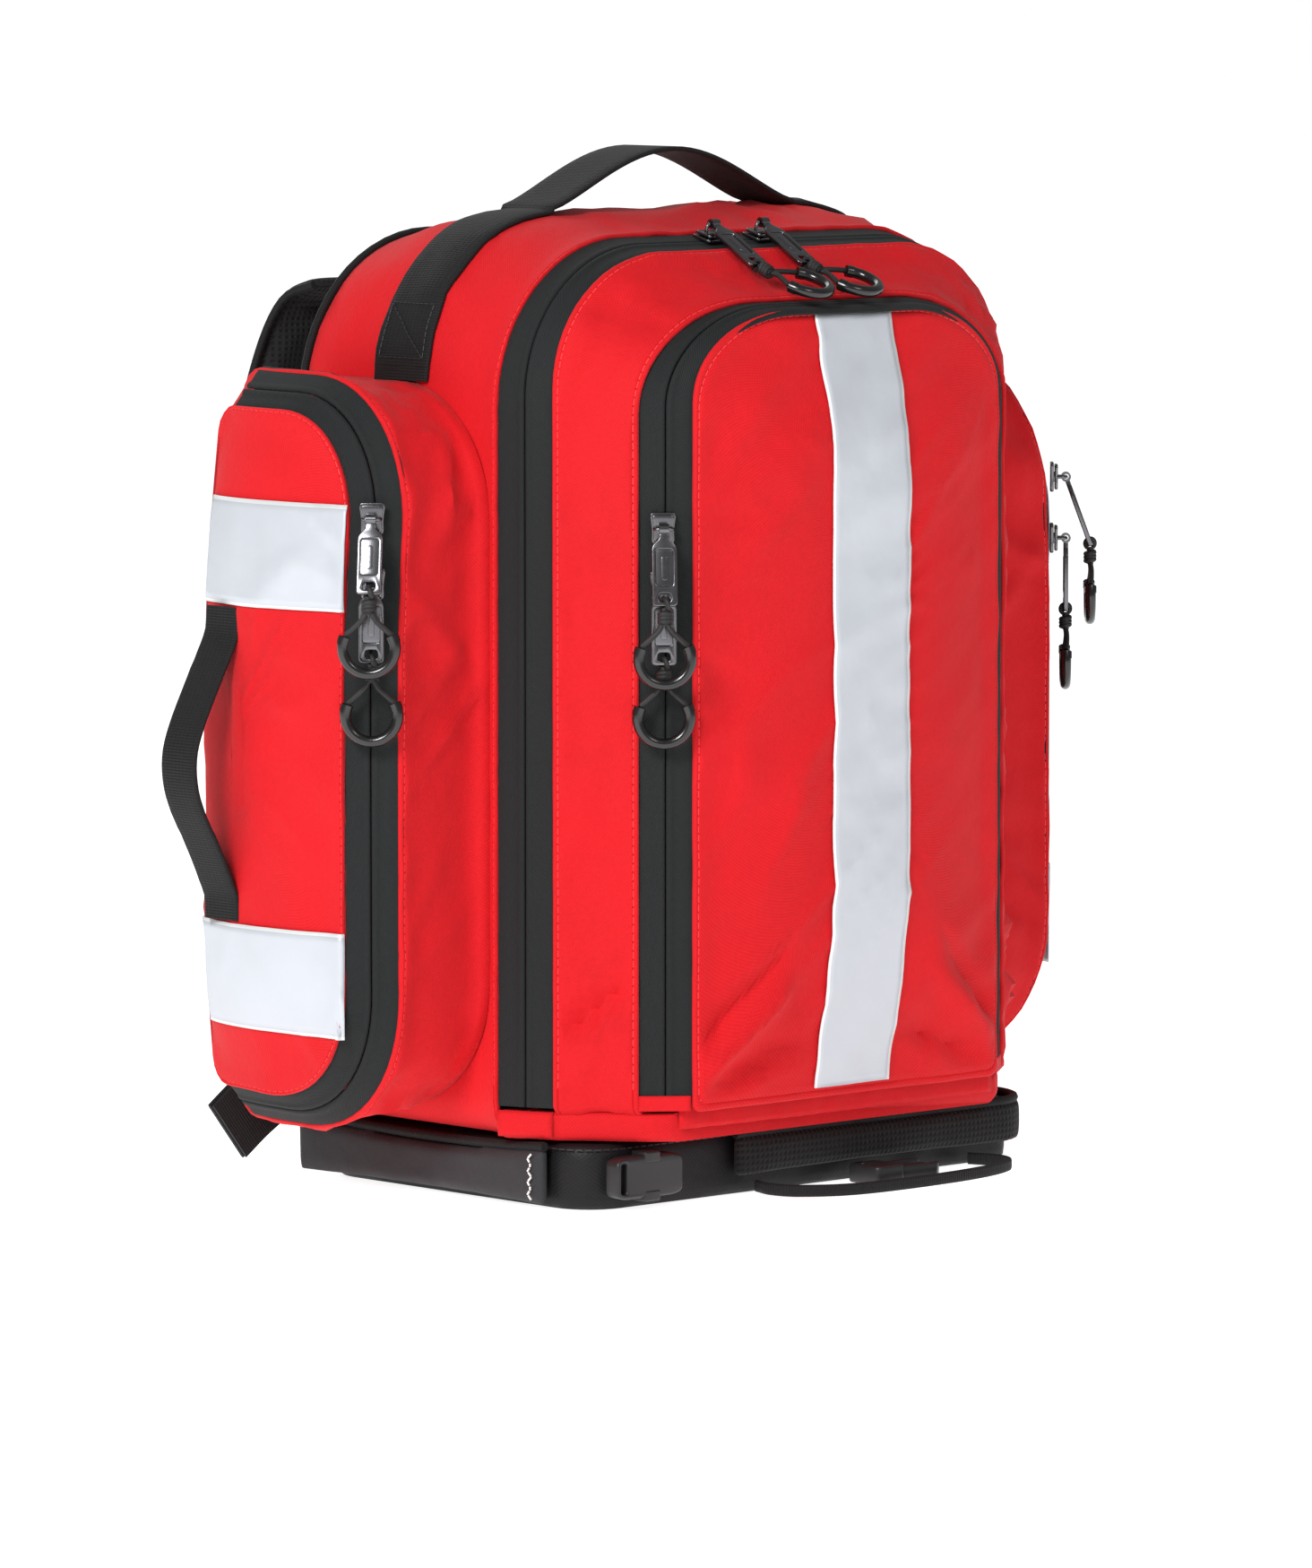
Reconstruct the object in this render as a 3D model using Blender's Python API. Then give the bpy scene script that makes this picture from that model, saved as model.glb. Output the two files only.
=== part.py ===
"""Trauma backpack: a soft-sided clamshell medical pack that stands on its base.

X runs across the pack, Y from its front (-Y) to the wearer's back (+Y), Z up.
The origin is the middle of the flat underside of the base. Metres.
"Left" and "right" are as seen from the front.
"""

import math
from collections import namedtuple

import bmesh
import bpy
from mathutils import Matrix, Vector

# ---- overall shape -------------------------------------------------------------------
BASE_HEIGHT = 0.0322         # height of the base boot, which the fabric stands on
BODY_HALF_WIDTH = 0.162      # widest section of the main compartment
BODY_CREST = 0.475           # highest point of the red fabric
BODY_LOW = BASE_HEIGHT + 0.0008  # underside of the red fabric
BODY_BACK = 0.099            # back face of the main compartment
TOP_CORNER = 0.080           # radius of the two top corners
LOW_CORNER = 0.018           # radius of the bottom corners
WALL = 0.003                 # padded fabric wall
GAP = 0.0006                 # clearance between pieces that face each other
TRIM_GAP = 0.0005            # clearance under trim that lies on the fabric
FOLD_TOP = 0.0475            # line that the main lid and the front flap fold on
FOLD_FRONT = -0.1155
FOLD_SETBACK = 0.0075        # how far the fixed strip stands back, so that the flap can pass it

# ---- zips ----------------------------------------------------------------------------
TAPE_THICKNESS = 0.0012
MAIN_TAPE_REAR = -0.0488     # depth of the two long edges of the main zip's tape
MAIN_TAPE_FRONT = -0.0742
MAIN_ZIP_END = 0.049         # height of the lower ends of the main zip
FRONT_TAPE_REAR = -0.1055
FRONT_TAPE_FRONT = -0.1215
FRONT_ZIP_END = 0.055
SLIDER_LENGTH = 0.015
SLIDER_WIDTH = 0.013
SLIDER_HEIGHT = 0.0045
BAIL_SPAN = 0.0098           # outside length of the arch that holds the puller
BAIL_THICK = 0.0016
EYE_CLEARANCE = 0.0013       # between the slider and the eye of its puller
EYE_INNER = 0.0015           # radii of the puller's eye round the bar
EYE_OUTER = 0.0026
BAIL_AXIS = SLIDER_HEIGHT + EYE_OUTER + EYE_CLEARANCE  # height of the arch's bar above the tape
EYE_WIDTH = 0.0048
PULLER_REACH = 0.036         # from the bar to the middle of the puller's lower bar
PULLER_WIDTH = 0.012
PULLER_THICK = 0.0024
PULLER_BAR = 0.0020
PULLER_HOLE = (0.0060, 0.0042)
LOOP_INNER = 0.0019          # radii of the cord's eye round the puller's lower bar
LOOP_OUTER = 0.0031
LOOP_WIDTH = 0.0028
CORD_RADIUS = 0.00125
GRIP_RADIUS = 0.0027
GRIP_BEND = 0.0125           # radius of the bent grip tube
GRIP_DROP = 0.026            # from the lower bar to the start of the bend

# ---- side pockets --------------------------------------------------------------------
POCKET_INNER = BODY_HALF_WIDTH + 0.0008        # face against the main compartment
POCKET_TAPE_INNER = POCKET_INNER + 0.0567   # the two edges of the side zip's tape
POCKET_TAPE_OUTER = POCKET_TAPE_INNER + 0.0170
POCKET_FACE = POCKET_TAPE_OUTER + 0.0090         # outer face of the door
POCKET_REAR = 0.088
POCKET_LOW = 0.038
POCKET_HIGH = BODY_CREST - 0.077
BAND_HEIGHT = 0.0508
UPPER_BAND_LOW = POCKET_HIGH - 0.1088
LOWER_BAND_LOW = 0.0850
GRAB_Y = 0.056
GRAB_WIDTH = 0.025
GRAB_RISE = 0.0265

# ---- trim, harness and base ----------------------------------------------------------
STRIPE_WIDTH = 0.0508
TRIM_THICKNESS = 0.0007
WEBBING_THICK = 0.0024
HANDLE_WIDTH = 0.038
HANDLE_Y = 0.018
HANDLE_END = BODY_CREST - 0.073           # height where the sewn ends of the carry handle stop
HANDLE_FREE = 0.080          # half length of the part of the handle that is not sewn
HANDLE_PEAK = BODY_CREST + 0.031
BASE_HALF_WIDTH = 0.148
BASE_FRONT = -0.097
BASE_BACK = 0.098
BASE_CORNER = 0.024
SHEET_THICK = 0.002
SHEET_HALF_WIDTH = 0.125
PAD_HALF_WIDTH = 0.140
PAD_THICK = 0.018
STRAP_WIDTH = 0.065
STRAP_THICK = 0.013
STRAP_WEB_WIDTH = 0.025
WING_THICK = 0.009
WING_TOP = 0.0315
LEFT_WING_LOW = 0.0012
RIGHT_WING_LOW = 0.0085
RIGHT_WING_END = -0.055
BELT_LOOP_HEIGHT = 0.0062
BELT_LOOP_THICK = 0.0026

ARC_STEPS = 6

Section = namedtuple("Section", "y half low high wide tall foot")
PocketSection = namedtuple("PocketSection", "x front rear low high corner heel")

RED = ((0.62, 0.012, 0.02), 0.75, 0.0)
TAPE = ((0.03, 0.033, 0.034), 0.8, 0.0)
WEBBING = ((0.012, 0.012, 0.013), 0.7, 0.0)
REFLECTIVE = ((0.58, 0.60, 0.63), 0.35, 0.0)
METAL = ((0.16, 0.16, 0.17), 0.3, 1.0)
CORD = ((0.01, 0.01, 0.01), 0.35, 0.0)
MESH = ((0.02, 0.02, 0.021), 0.9, 0.0)
BOOT = ((0.015, 0.015, 0.016), 0.5, 0.0)
BELT = ((0.05, 0.052, 0.055), 0.8, 0.0)
ACETAL = ((0.012, 0.012, 0.012), 0.4, 0.0)
BOARD = ((0.05, 0.05, 0.05), 0.5, 0.0)


# ---- scene helpers -------------------------------------------------------------------
def clear_scene():
    for item in list(bpy.data.objects):
        bpy.data.objects.remove(item, do_unlink=True)


def material(name, finish):
    colour, roughness, metallic = finish
    made = bpy.data.materials.new(name)
    made.use_nodes = True
    shader = made.node_tree.nodes["Principled BSDF"]
    shader.inputs["Base Color"].default_value = (*colour, 1.0)
    shader.inputs["Roughness"].default_value = roughness
    shader.inputs["Metallic"].default_value = metallic
    return made


def add_object(name, mesh, finish, frame=None):
    """Links a mesh as one named piece. Its own coordinates are those of `frame`."""
    mesh.materials.append(material(name, finish))
    mesh.shade_smooth()
    mesh.set_sharp_from_angle(angle=math.radians(35))
    item = bpy.data.objects.new(name, mesh)
    item.matrix_world = frame if frame else Matrix.Identity(4)
    bpy.context.scene.collection.objects.link(item)
    return item


def move_origin(item, point):
    """Puts a piece's origin on its joint without moving its surface."""
    offset = Vector(point) - item.location
    item.data.transform(Matrix.Translation(-offset))
    item.location = Vector(point)


def as_mesh(name, shape):
    """Turns a bmesh into a mesh with its faces pointing out."""
    bmesh.ops.recalc_face_normals(shape, faces=shape.faces[:])
    mesh = bpy.data.meshes.new(name)
    shape.to_mesh(mesh)
    shape.free()
    return mesh


def loft(name, rings, closed_path=False):
    """Skins closed rings of points. The first and last ring are capped unless the path closes."""
    shape = bmesh.new()
    loops = [[shape.verts.new(point) for point in ring] for ring in rings]
    pairs = list(zip(loops, loops[1:]))
    if closed_path:
        pairs.append((loops[-1], loops[0]))
    for near, far in pairs:
        for i in range(len(near)):
            j = (i + 1) % len(near)
            shape.faces.new((near[i], near[j], far[j], far[i]))
    if not closed_path:
        shape.faces.new(loops[0])
        shape.faces.new(loops[-1])
    return as_mesh(name, shape)


def box_mesh(name, low, high):
    shape = bmesh.new()
    bmesh.ops.create_cube(shape, size=1.0)
    size = [b - a for a, b in zip(low, high)]
    middle = [(a + b) / 2 for a, b in zip(low, high)]
    bmesh.ops.scale(shape, vec=size, verts=shape.verts[:])
    bmesh.ops.translate(shape, vec=middle, verts=shape.verts[:])
    return as_mesh(name, shape)


def combine(name, first, second, operation):
    """Boolean of two meshes, as a new mesh."""
    items = []
    for mesh in (first, second):
        item = bpy.data.objects.new(mesh.name, mesh)
        bpy.context.scene.collection.objects.link(item)
        items.append(item)
    modifier = items[0].modifiers.new("cut", "BOOLEAN")
    modifier.operation = operation
    modifier.object = items[1]
    modifier.solver = "EXACT"
    graph = bpy.context.evaluated_depsgraph_get()
    mesh = bpy.data.meshes.new_from_object(items[0].evaluated_get(graph))
    mesh.name = name
    mesh.materials.clear()
    for item in items:
        bpy.data.objects.remove(item, do_unlink=True)
    return mesh


def mirrored(mesh, name):
    """A copy of a mesh reflected in the pack's middle plane."""
    shape = bmesh.new()
    shape.from_mesh(mesh)
    bmesh.ops.scale(shape, vec=(-1, 1, 1), verts=shape.verts[:])
    return as_mesh(name, shape)


def arc(centre, radii, start, end, steps=ARC_STEPS):
    """Points of an ellipse's quarter, or of any part of it, by angle in degrees."""
    points = []
    for step in range(steps + 1):
        angle = math.radians(start + (end - start) * step / steps)
        points.append((centre[0] + radii[0] * math.cos(angle), centre[1] + radii[1] * math.sin(angle)))
    return points


# ---- the pack's own sections ---------------------------------------------------------
def between(a, b, share):
    """The section part of the way from a to b."""
    return type(a)(*(p + (q - p) * share for p, q in zip(a, b)))


def arch(section, end, grow=0.0):
    """Open path up the left side, over the top and down the right side, as (x, z)."""
    half, high = section.half + grow, section.high + grow
    wide, tall = section.wide + grow, section.tall + grow
    left = arc((-half + wide, high - tall), (wide, tall), 180, 90)
    right = arc((half - wide, high - tall), (wide, tall), 90, 0)
    return [(-half, end), *left, *right, (half, end)]


def ring(section, grow=0.0, y=None):
    """Closed outline of a section as points in the pack's frame."""
    half, low, foot = section.half + grow, section.low - grow, max(section.foot + grow, 0.001)
    path = arch(section, low + foot, grow)
    path += arc((half - foot, low + foot), (foot, foot), 0, -90, 3)[1:]
    path += arc((-half + foot, low + foot), (foot, foot), -90, -180, 3)[:-1]
    depth = section.y if y is None else y
    return [(x, depth, z) for x, z in path]


def rear_sections():
    """Main compartment, from its back to the rear edge of the main zip's tape."""
    half, crest, corner = BODY_HALF_WIDTH, BODY_CREST, TOP_CORNER
    low, foot = BODY_LOW, LOW_CORNER
    return [
        Section(BODY_BACK, half - 0.011, low + 0.006, crest - 0.020, corner, corner, foot),
        Section(BODY_BACK - 0.004, half - 0.004, low + 0.001, crest - 0.0135, corner, corner, foot),
        Section(0.072, half - 0.001, low, crest - 0.007, corner, corner, foot),
        Section(0.042, half, low, crest - 0.0015, corner, corner, foot),
        Section(0.010, half, low, crest, corner, corner, foot),
        Section(-0.022, half, low, crest - 0.0045, corner, corner, foot),
        Section(MAIN_TAPE_REAR, half - 0.0016, low, crest - 0.0123, corner, corner, foot),
    ]


def main_tape_front_section(low=BODY_LOW, foot=LOW_CORNER):
    return Section(MAIN_TAPE_FRONT, BODY_HALF_WIDTH - 0.0134, low, BODY_CREST - 0.0189, 0.068, 0.062, foot)


def front_tape_sections(low, foot):
    """Rear and front edges of the front zip's tape."""
    half = BODY_HALF_WIDTH - 0.0405
    top = BODY_CREST - 0.043
    return (
        Section(FRONT_TAPE_REAR, half, low, top, 0.075, 0.050, foot),
        Section(FRONT_TAPE_FRONT, half - 0.0195, low, top - 0.0025, 0.062, 0.042, foot),
    )


def rims(rear_edge, front_edge):
    """The sections either side of a zip's teeth line, half a gap from it."""
    depth = front_edge.y - rear_edge.y
    share = abs(GAP / 2 / depth)
    return between(rear_edge, front_edge, 0.5 - share), between(rear_edge, front_edge, 0.5 + share)


def tape_mesh(name, rear_edge, front_edge, end):
    """One half of a zip's tape, lying just off the fabric between two sections."""
    inner, outer = TRIM_GAP, TRIM_GAP + TAPE_THICKNESS
    paths = [
        (rear_edge.y, arch(rear_edge, end, inner)),
        (front_edge.y, arch(front_edge, end, inner)),
        (front_edge.y, arch(front_edge, end, outer)),
        (rear_edge.y, arch(rear_edge, end, outer)),
    ]
    rings = []
    for i in range(len(paths[0][1])):
        rings.append([(path[i][0], y, path[i][1]) for y, path in paths])
    return loft(name, rings)


def build_rear_shell():
    sections = rear_sections()
    rim, _ = rims(sections[-1], main_tape_front_section())
    outer = [ring(s) for s in (*sections, rim)]
    deep = sections[1]
    inner = [ring(s, -WALL) for s in (rim, *reversed(sections[2:]))]
    inner.append(ring(deep, -WALL, deep.y - WALL))
    add_object("rear_shell", loft("rear_shell", outer + inner), RED)


def build_bottom_fold():
    """Fixed strip of the bottom that the lid and the flap fold on."""
    rear_edge = rear_sections()[-1]._replace(low=BODY_LOW, foot=0.004)
    _, rim = rims(rear_edge, main_tape_front_section())
    tape_rear, tape_front = front_tape_sections(BODY_LOW, 0.004)
    depth = FOLD_FRONT + FOLD_SETBACK
    front = between(tape_rear, tape_front, (depth - tape_rear.y) / (tape_front.y - tape_rear.y))
    rings = []
    for section in (rim, main_tape_front_section(), tape_rear, front):
        strip = section._replace(low=BODY_LOW, high=FOLD_TOP - GAP / 2, wide=0.003, tall=0.003, foot=0.005)
        rings.append(ring(strip))
    add_object("bottom_fold", loft("bottom_fold", rings), RED)


def lid_sections():
    low, foot = FOLD_TOP + GAP / 2, 0.003
    rear_edge = rear_sections()[-1]._replace(low=low, foot=foot)
    main_front = main_tape_front_section(low, foot)
    _, rim = rims(rear_edge, main_front)
    tape_rear, tape_front = front_tape_sections(low, foot)
    front_rim, _ = rims(tape_rear, tape_front)
    return [rim, main_front, tape_rear, front_rim]


def build_main_lid():
    sections = lid_sections()
    outer = [ring(s) for s in sections]
    inner = [ring(s, -WALL) for s in reversed(sections[1:])]
    inner.append(ring(sections[0], -WALL, sections[0].y - WALL))
    lid = add_object("main_lid", loft("main_lid", outer + inner), RED)
    move_origin(lid, (0, FOLD_FRONT, FOLD_TOP))


def flap_sections():
    low, foot = FOLD_TOP + GAP / 2, 0.003
    tape_rear, tape_front = front_tape_sections(low, foot)
    _, rim = rims(tape_rear, tape_front)
    edge = tape_front._replace(low=low + 0.008, foot=0.006)
    swell = Section(edge.y - 0.0130, 0.062, 0.098, edge.high - 0.055, 0.045, 0.060, 0.030)
    crown = Section(edge.y - 0.0177, 0.034, 0.165, edge.high - 0.115, 0.026, 0.040, 0.024)
    return [rim, edge, swell, crown]


def build_front_flap():
    sections = flap_sections()
    outer = [ring(s) for s in sections]
    inner = [ring(sections[0], -WALL)]
    inner += [ring(s, -WALL, s.y + WALL) for s in sections[1:]]
    mesh = loft("front_flap", list(reversed(outer)) + inner)
    move_origin(add_object("front_flap", mesh, RED), (0, FOLD_FRONT, FOLD_TOP))


def build_front_stripe():
    """Reflective tape down the middle of the front flap."""
    low, high = TRIM_GAP, TRIM_GAP + TRIM_THICKNESS
    sections = flap_sections()[1:]
    outer = [ring(s, high, s.y - high) for s in sections]
    inner = [ring(s, low, s.y - low) for s in sections]
    skin = loft("skin", list(reversed(outer)) + inner)
    half = STRIPE_WIDTH / 2
    slab = box_mesh("slab", (-half, -0.3, 0.0), (half, 0.0, 0.6))
    stripe = add_object("front_stripe", combine("front_stripe", skin, slab, "INTERSECT"), REFLECTIVE)
    move_origin(stripe, (0, FOLD_FRONT, FOLD_TOP))


def build_front_zips():
    rear_edge, main_front = rear_sections()[-1], main_tape_front_section()
    body_rim, lid_rim = rims(rear_edge, main_front)
    tape_rear, tape_front = front_tape_sections(BODY_LOW, LOW_CORNER)
    pocket_rim, flap_rim = rims(tape_rear, tape_front)
    halves = (
        ("main_tape_body", rear_edge, body_rim, MAIN_ZIP_END, False),
        ("main_tape_lid", lid_rim, main_front, MAIN_ZIP_END, True),
        ("front_tape_lid", tape_rear, pocket_rim, FRONT_ZIP_END, True),
        ("front_tape_flap", flap_rim, tape_front, FRONT_ZIP_END, True),
    )
    for name, first, second, end, moves in halves:
        item = add_object(name, tape_mesh(name, first, second, end), TAPE)
        if moves:
            move_origin(item, (0, FOLD_FRONT, FOLD_TOP))


# ---- side pockets --------------------------------------------------------------------
def curve_path(section, grow=0.0):
    """The zip's path round a pocket: along the bottom, up the front, back along the top."""
    front, low, high = section.front - grow, section.low - grow, section.high + grow
    corner, end = section.corner + grow, section.rear - section.heel
    lower = arc((front + corner, low + corner), (corner, corner), -90, -180)
    upper = arc((front + corner, high - corner), (corner, corner), 180, 90)
    return [(end, low), *lower, *upper, (end, high)]


def pocket_ring(section, grow=0.0, x=None):
    heel = section.heel + grow
    rear, low, high = section.rear + grow, section.low - grow, section.high + grow
    path = curve_path(section, grow)
    path += arc((rear - heel, high - heel), (heel, heel), 90, 0, 3)[1:]
    path += arc((rear - heel, low + heel), (heel, heel), 0, -90, 3)[:-1]
    across = section.x if x is None else x
    return [(across, y, z) for y, z in path]


def pocket_sections():
    """Pocket wall from the main compartment out to the inner edge of its zip's tape."""
    low, high, rear = POCKET_LOW, POCKET_HIGH, POCKET_REAR
    return [
        PocketSection(POCKET_INNER, -0.0375, rear, low + 0.010, high - 0.010, 0.058, 0.012),
        PocketSection(POCKET_TAPE_INNER, -0.0420, rear, low, high, 0.070, 0.012),
    ]


def door_sections():
    """Door from the outer edge of its zip's tape to its flat outer face."""
    low, high, rear = POCKET_LOW, POCKET_HIGH, POCKET_REAR
    return [
        PocketSection(POCKET_TAPE_OUTER, -0.0240, rear - 0.001, low + 0.0155, high - 0.0155, 0.056, 0.012),
        PocketSection(POCKET_FACE - 0.003, -0.0080, rear - 0.005, low + 0.040, high - 0.038, 0.046, 0.014),
        PocketSection(POCKET_FACE, 0.0100, rear - 0.012, low + 0.076, high - 0.072, 0.036, 0.016),
    ]


def pocket_rims():
    """Pocket-side and door-side sections at the side zip's teeth line."""
    inner, outer = pocket_sections()[-1], door_sections()[0]
    share = GAP / 2 / (outer.x - inner.x)
    return between(inner, outer, 0.5 - share), between(inner, outer, 0.5 + share)


def pocket_tape(name, first, second):
    inner, outer = TRIM_GAP, TRIM_GAP + TAPE_THICKNESS
    paths = [
        (first.x, curve_path(first, inner)),
        (second.x, curve_path(second, inner)),
        (second.x, curve_path(second, outer)),
        (first.x, curve_path(first, outer)),
    ]
    rings = []
    for i in range(len(paths[0][1])):
        rings.append([(x, path[i][0], path[i][1]) for x, path in paths])
    return loft(name, rings)


def door_band(name, low):
    """Reflective tape across the door between two heights."""
    under, over = TRIM_GAP, TRIM_GAP + TRIM_THICKNESS
    sections = door_sections()
    outer = [pocket_ring(s, over, s.x + over) for s in sections]
    inner = [pocket_ring(s, under, s.x + under) for s in sections]
    skin = loft("skin", list(reversed(outer)) + inner)
    slab = box_mesh("slab", (0.0, -0.3, low), (0.5, 0.3, low + BAND_HEIGHT))
    return combine(name, skin, slab, "INTERSECT")


def grab_path():
    """Centre line of the grab handle: sewn flat at both ends, bowed out between."""
    low = LOWER_BAND_LOW + BAND_HEIGHT + 0.002
    high = UPPER_BAND_LOW - 0.002
    seat = POCKET_FACE + TRIM_GAP + WEBBING_THICK / 2
    tab = 0.010
    points = [(seat, low)]
    steps = 12
    for step in range(steps + 1):
        share = step / steps
        swell = (1 - math.cos(2 * math.pi * share)) / 2
        points.append((seat + GRAB_RISE * swell ** 0.75, low + tab + (high - low - 2 * tab) * share))
    points.append((seat, high))
    return points


def ribbon(name, path, across, width, thickness):
    """A flat strap along a path of points, with its width along `across`."""
    across = Vector(across).normalized()
    points = [Vector(p) for p in path]
    rings = []
    for i, point in enumerate(points):
        tangent = (points[min(i + 1, len(points) - 1)] - points[max(i - 1, 0)]).normalized()
        normal = tangent.cross(across).normalized()
        side, lift = across * width / 2, normal * thickness / 2
        rings.append([point - side - lift, point + side - lift, point + side + lift, point - side + lift])
    return loft(name, rings)


def build_side_pockets():
    sections = pocket_sections()
    pocket_rim, door_rim = pocket_rims()
    outer = [pocket_ring(s) for s in (*sections, pocket_rim)]
    inner = [pocket_ring(s, -WALL) for s in (pocket_rim, sections[1])]
    inner.append(pocket_ring(sections[0], -WALL, sections[0].x + WALL))
    door_parts = [door_rim, *door_sections()]
    door_outer = [pocket_ring(s) for s in reversed(door_parts)]
    door_inner = [pocket_ring(door_rim, -WALL)]
    door_inner += [pocket_ring(s, -WALL, s.x - WALL) for s in door_parts[1:]]
    grab = [(x, GRAB_Y, z) for x, z in grab_path()]
    pieces = (
        ("side_pocket", loft("pocket", outer + inner), RED, False),
        ("side_tape_pocket", pocket_tape("tape", sections[1], pocket_rim), TAPE, False),
        ("side_door", loft("door", door_outer + door_inner), RED, True),
        ("side_tape_door", pocket_tape("tape", door_rim, door_sections()[0]), TAPE, True),
        ("upper_band", door_band("band", UPPER_BAND_LOW), REFLECTIVE, True),
        ("lower_band", door_band("band", LOWER_BAND_LOW), REFLECTIVE, True),
        ("grab_handle", ribbon("grab", grab, (0, 1, 0), GRAB_WIDTH, WEBBING_THICK), WEBBING, True),
    )
    for name, mesh, finish, moves in pieces:
        for side, label in ((1, "right"), (-1, "left")):
            full = f"{name}_{label}"
            copy = mesh.copy() if side > 0 else mirrored(mesh, full)
            item = add_object(full, copy, finish)
            if moves:
                move_origin(item, (side * pocket_rims()[1].x, POCKET_REAR, 0.218))


# ---- zip sliders, pullers and cord pulls ---------------------------------------------
def slider_mesh(along_bar, across_bar):
    """A slider's body with the arch for its puller. The arch's bar lies along local X."""
    shape = bmesh.new()
    half_x, half_y = along_bar / 2, across_bar / 2
    cut = 0.0028
    outline = [
        (-half_x + cut, -half_y), (half_x - cut, -half_y), (half_x, -half_y + cut), (half_x, half_y - cut),
        (half_x - cut, half_y), (-half_x + cut, half_y), (-half_x, half_y - cut), (-half_x, -half_y + cut),
    ]
    levels = ((0.0003, 1.0), (SLIDER_HEIGHT - 0.001, 1.0), (SLIDER_HEIGHT, 0.82))
    loops = []
    for height, scale in levels:
        loops.append([shape.verts.new((x * scale, y * scale, height)) for x, y in outline])
    for near, far in zip(loops, loops[1:]):
        for i in range(len(near)):
            j = (i + 1) % len(near)
            shape.faces.new((near[i], near[j], far[j], far[i]))
    shape.faces.new(loops[0])
    shape.faces.new(loops[-1])
    body = as_mesh("body", shape)
    foot, half, thick = SLIDER_HEIGHT - 0.001, BAIL_SPAN / 2, BAIL_THICK
    top, under = BAIL_AXIS + thick / 2, BAIL_AXIS - thick / 2
    profile = [
        (-half, foot), (-half, top - 0.0006), (-half + 0.0006, top), (half - 0.0006, top),
        (half, top - 0.0006), (half, foot), (half - thick, foot), (half - thick, under),
        (-half + thick, under), (-half + thick, foot),
    ]
    rings = [[(x, side * thick / 2, z) for x, z in profile] for side in (-1, 1)]
    return combine("slider", body, loft("bail", rings), "UNION")


def octagon_tube(name, inner, outer, width, centre):
    """A short ring round the local X axis through `centre` (y, z)."""
    shape_rings = []
    for i in range(8):
        angle = math.radians(22.5 + 45 * i)
        c, s = math.cos(angle), math.sin(angle)
        shape_rings.append([
            (-width / 2, centre[0] + inner * c, centre[1] + inner * s),
            (width / 2, centre[0] + inner * c, centre[1] + inner * s),
            (width / 2, centre[0] + outer * c, centre[1] + outer * s),
            (-width / 2, centre[0] + outer * c, centre[1] + outer * s),
        ])
    return loft(name, shape_rings, closed_path=True)


def puller_mesh():
    """A flat puller hanging along local -Y from the bar at its origin."""
    half, thick = PULLER_WIDTH / 2, PULLER_THICK / 2
    neck, end = EYE_WIDTH / 2, PULLER_REACH + PULLER_BAR / 2
    start = (EYE_INNER + EYE_OUTER) / 2
    hole_w, hole_h = PULLER_HOLE
    hole_top = PULLER_REACH - PULLER_BAR / 2 - hole_h
    outer = [
        (neck, -start), (half, -0.0075), (half, -hole_top), (half, -end + 0.002), (half - 0.002, -end),
        (-half + 0.002, -end), (-half, -end + 0.002), (-half, -hole_top), (-half, -0.0075), (-neck, -start),
    ]
    plate_rings = [[(x, y, side * thick) for x, y in outer] for side in (-1, 1)]
    plate = loft("plate", plate_rings)
    hole = box_mesh("hole", (-hole_w / 2, -hole_top - hole_h, -0.01), (hole_w / 2, -hole_top, 0.01))
    plate = combine("plate", plate, hole, "DIFFERENCE")
    eye = octagon_tube("eye", EYE_INNER, EYE_OUTER, EYE_WIDTH, (0.0, 0.0))
    return combine("puller", plate, eye, "UNION")


def pull_path(skew):
    """Centre line and radius of the cord loop and its bent grip tube, in the local XY plane."""
    neck = Vector((0.0, -LOOP_OUTER - 0.0035))
    drop = neck.y + GRIP_DROP
    strand = [(GRIP_BEND * 0.55, neck.y - drop * 0.5), (GRIP_BEND * 0.95, -GRIP_DROP + 0.0015)]
    below = [(x, y, CORD_RADIUS) for x, y in strand]
    below += [(x, y, GRIP_RADIUS) for x, y in arc((0.0, -GRIP_DROP), (GRIP_BEND, GRIP_BEND), 0, -180, 10)]
    below += [(-x, y, CORD_RADIUS) for x, y in reversed(strand)]
    turn = Matrix.Rotation(math.radians(skew), 2)
    turned = []
    for x, y, radius in below:
        point = neck + turn @ (Vector((x, y)) - neck)
        turned.append((point.x, point.y, radius))
    start = [(0.0016, -LOOP_OUTER, CORD_RADIUS), (0.0019, neck.y, CORD_RADIUS)]
    return start + turned + [(-x, y, radius) for x, y, radius in reversed(start)]


def pull_mesh(skew):
    path = pull_path(skew)
    count, sides = len(path), 6
    rings = []
    for i, (x, y, radius) in enumerate(path):
        before, after = path[i - 1], path[(i + 1) % count]
        tangent = Vector((after[0] - before[0], after[1] - before[1], 0)).normalized()
        outward = tangent.cross(Vector((0, 0, 1)))
        points = []
        for k in range(sides):
            angle = 2 * math.pi * k / sides
            offset = outward * math.cos(angle) + Vector((0, 0, 1)) * math.sin(angle)
            points.append(Vector((x, y, 0)) + offset * radius)
        rings.append(points)
    loop = loft("loop", rings, closed_path=True)
    eye = octagon_tube("eye", LOOP_INNER, LOOP_OUTER, LOOP_WIDTH, (0.0, 0.0))
    return combine("pull", loop, eye, "UNION")


Seat = namedtuple("Seat", "point up normal")


def frame_of(seat):
    """Local frame on a zip: X along the puller's bar, Y away from where it hangs, Z off the tape."""
    z = seat.normal.normalized()
    y = (seat.up - z * seat.up.dot(z)).normalized()
    x = y.cross(z)
    turn = Matrix((x, y, z)).transposed().to_4x4()
    return Matrix.Translation(seat.point) @ turn


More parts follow.
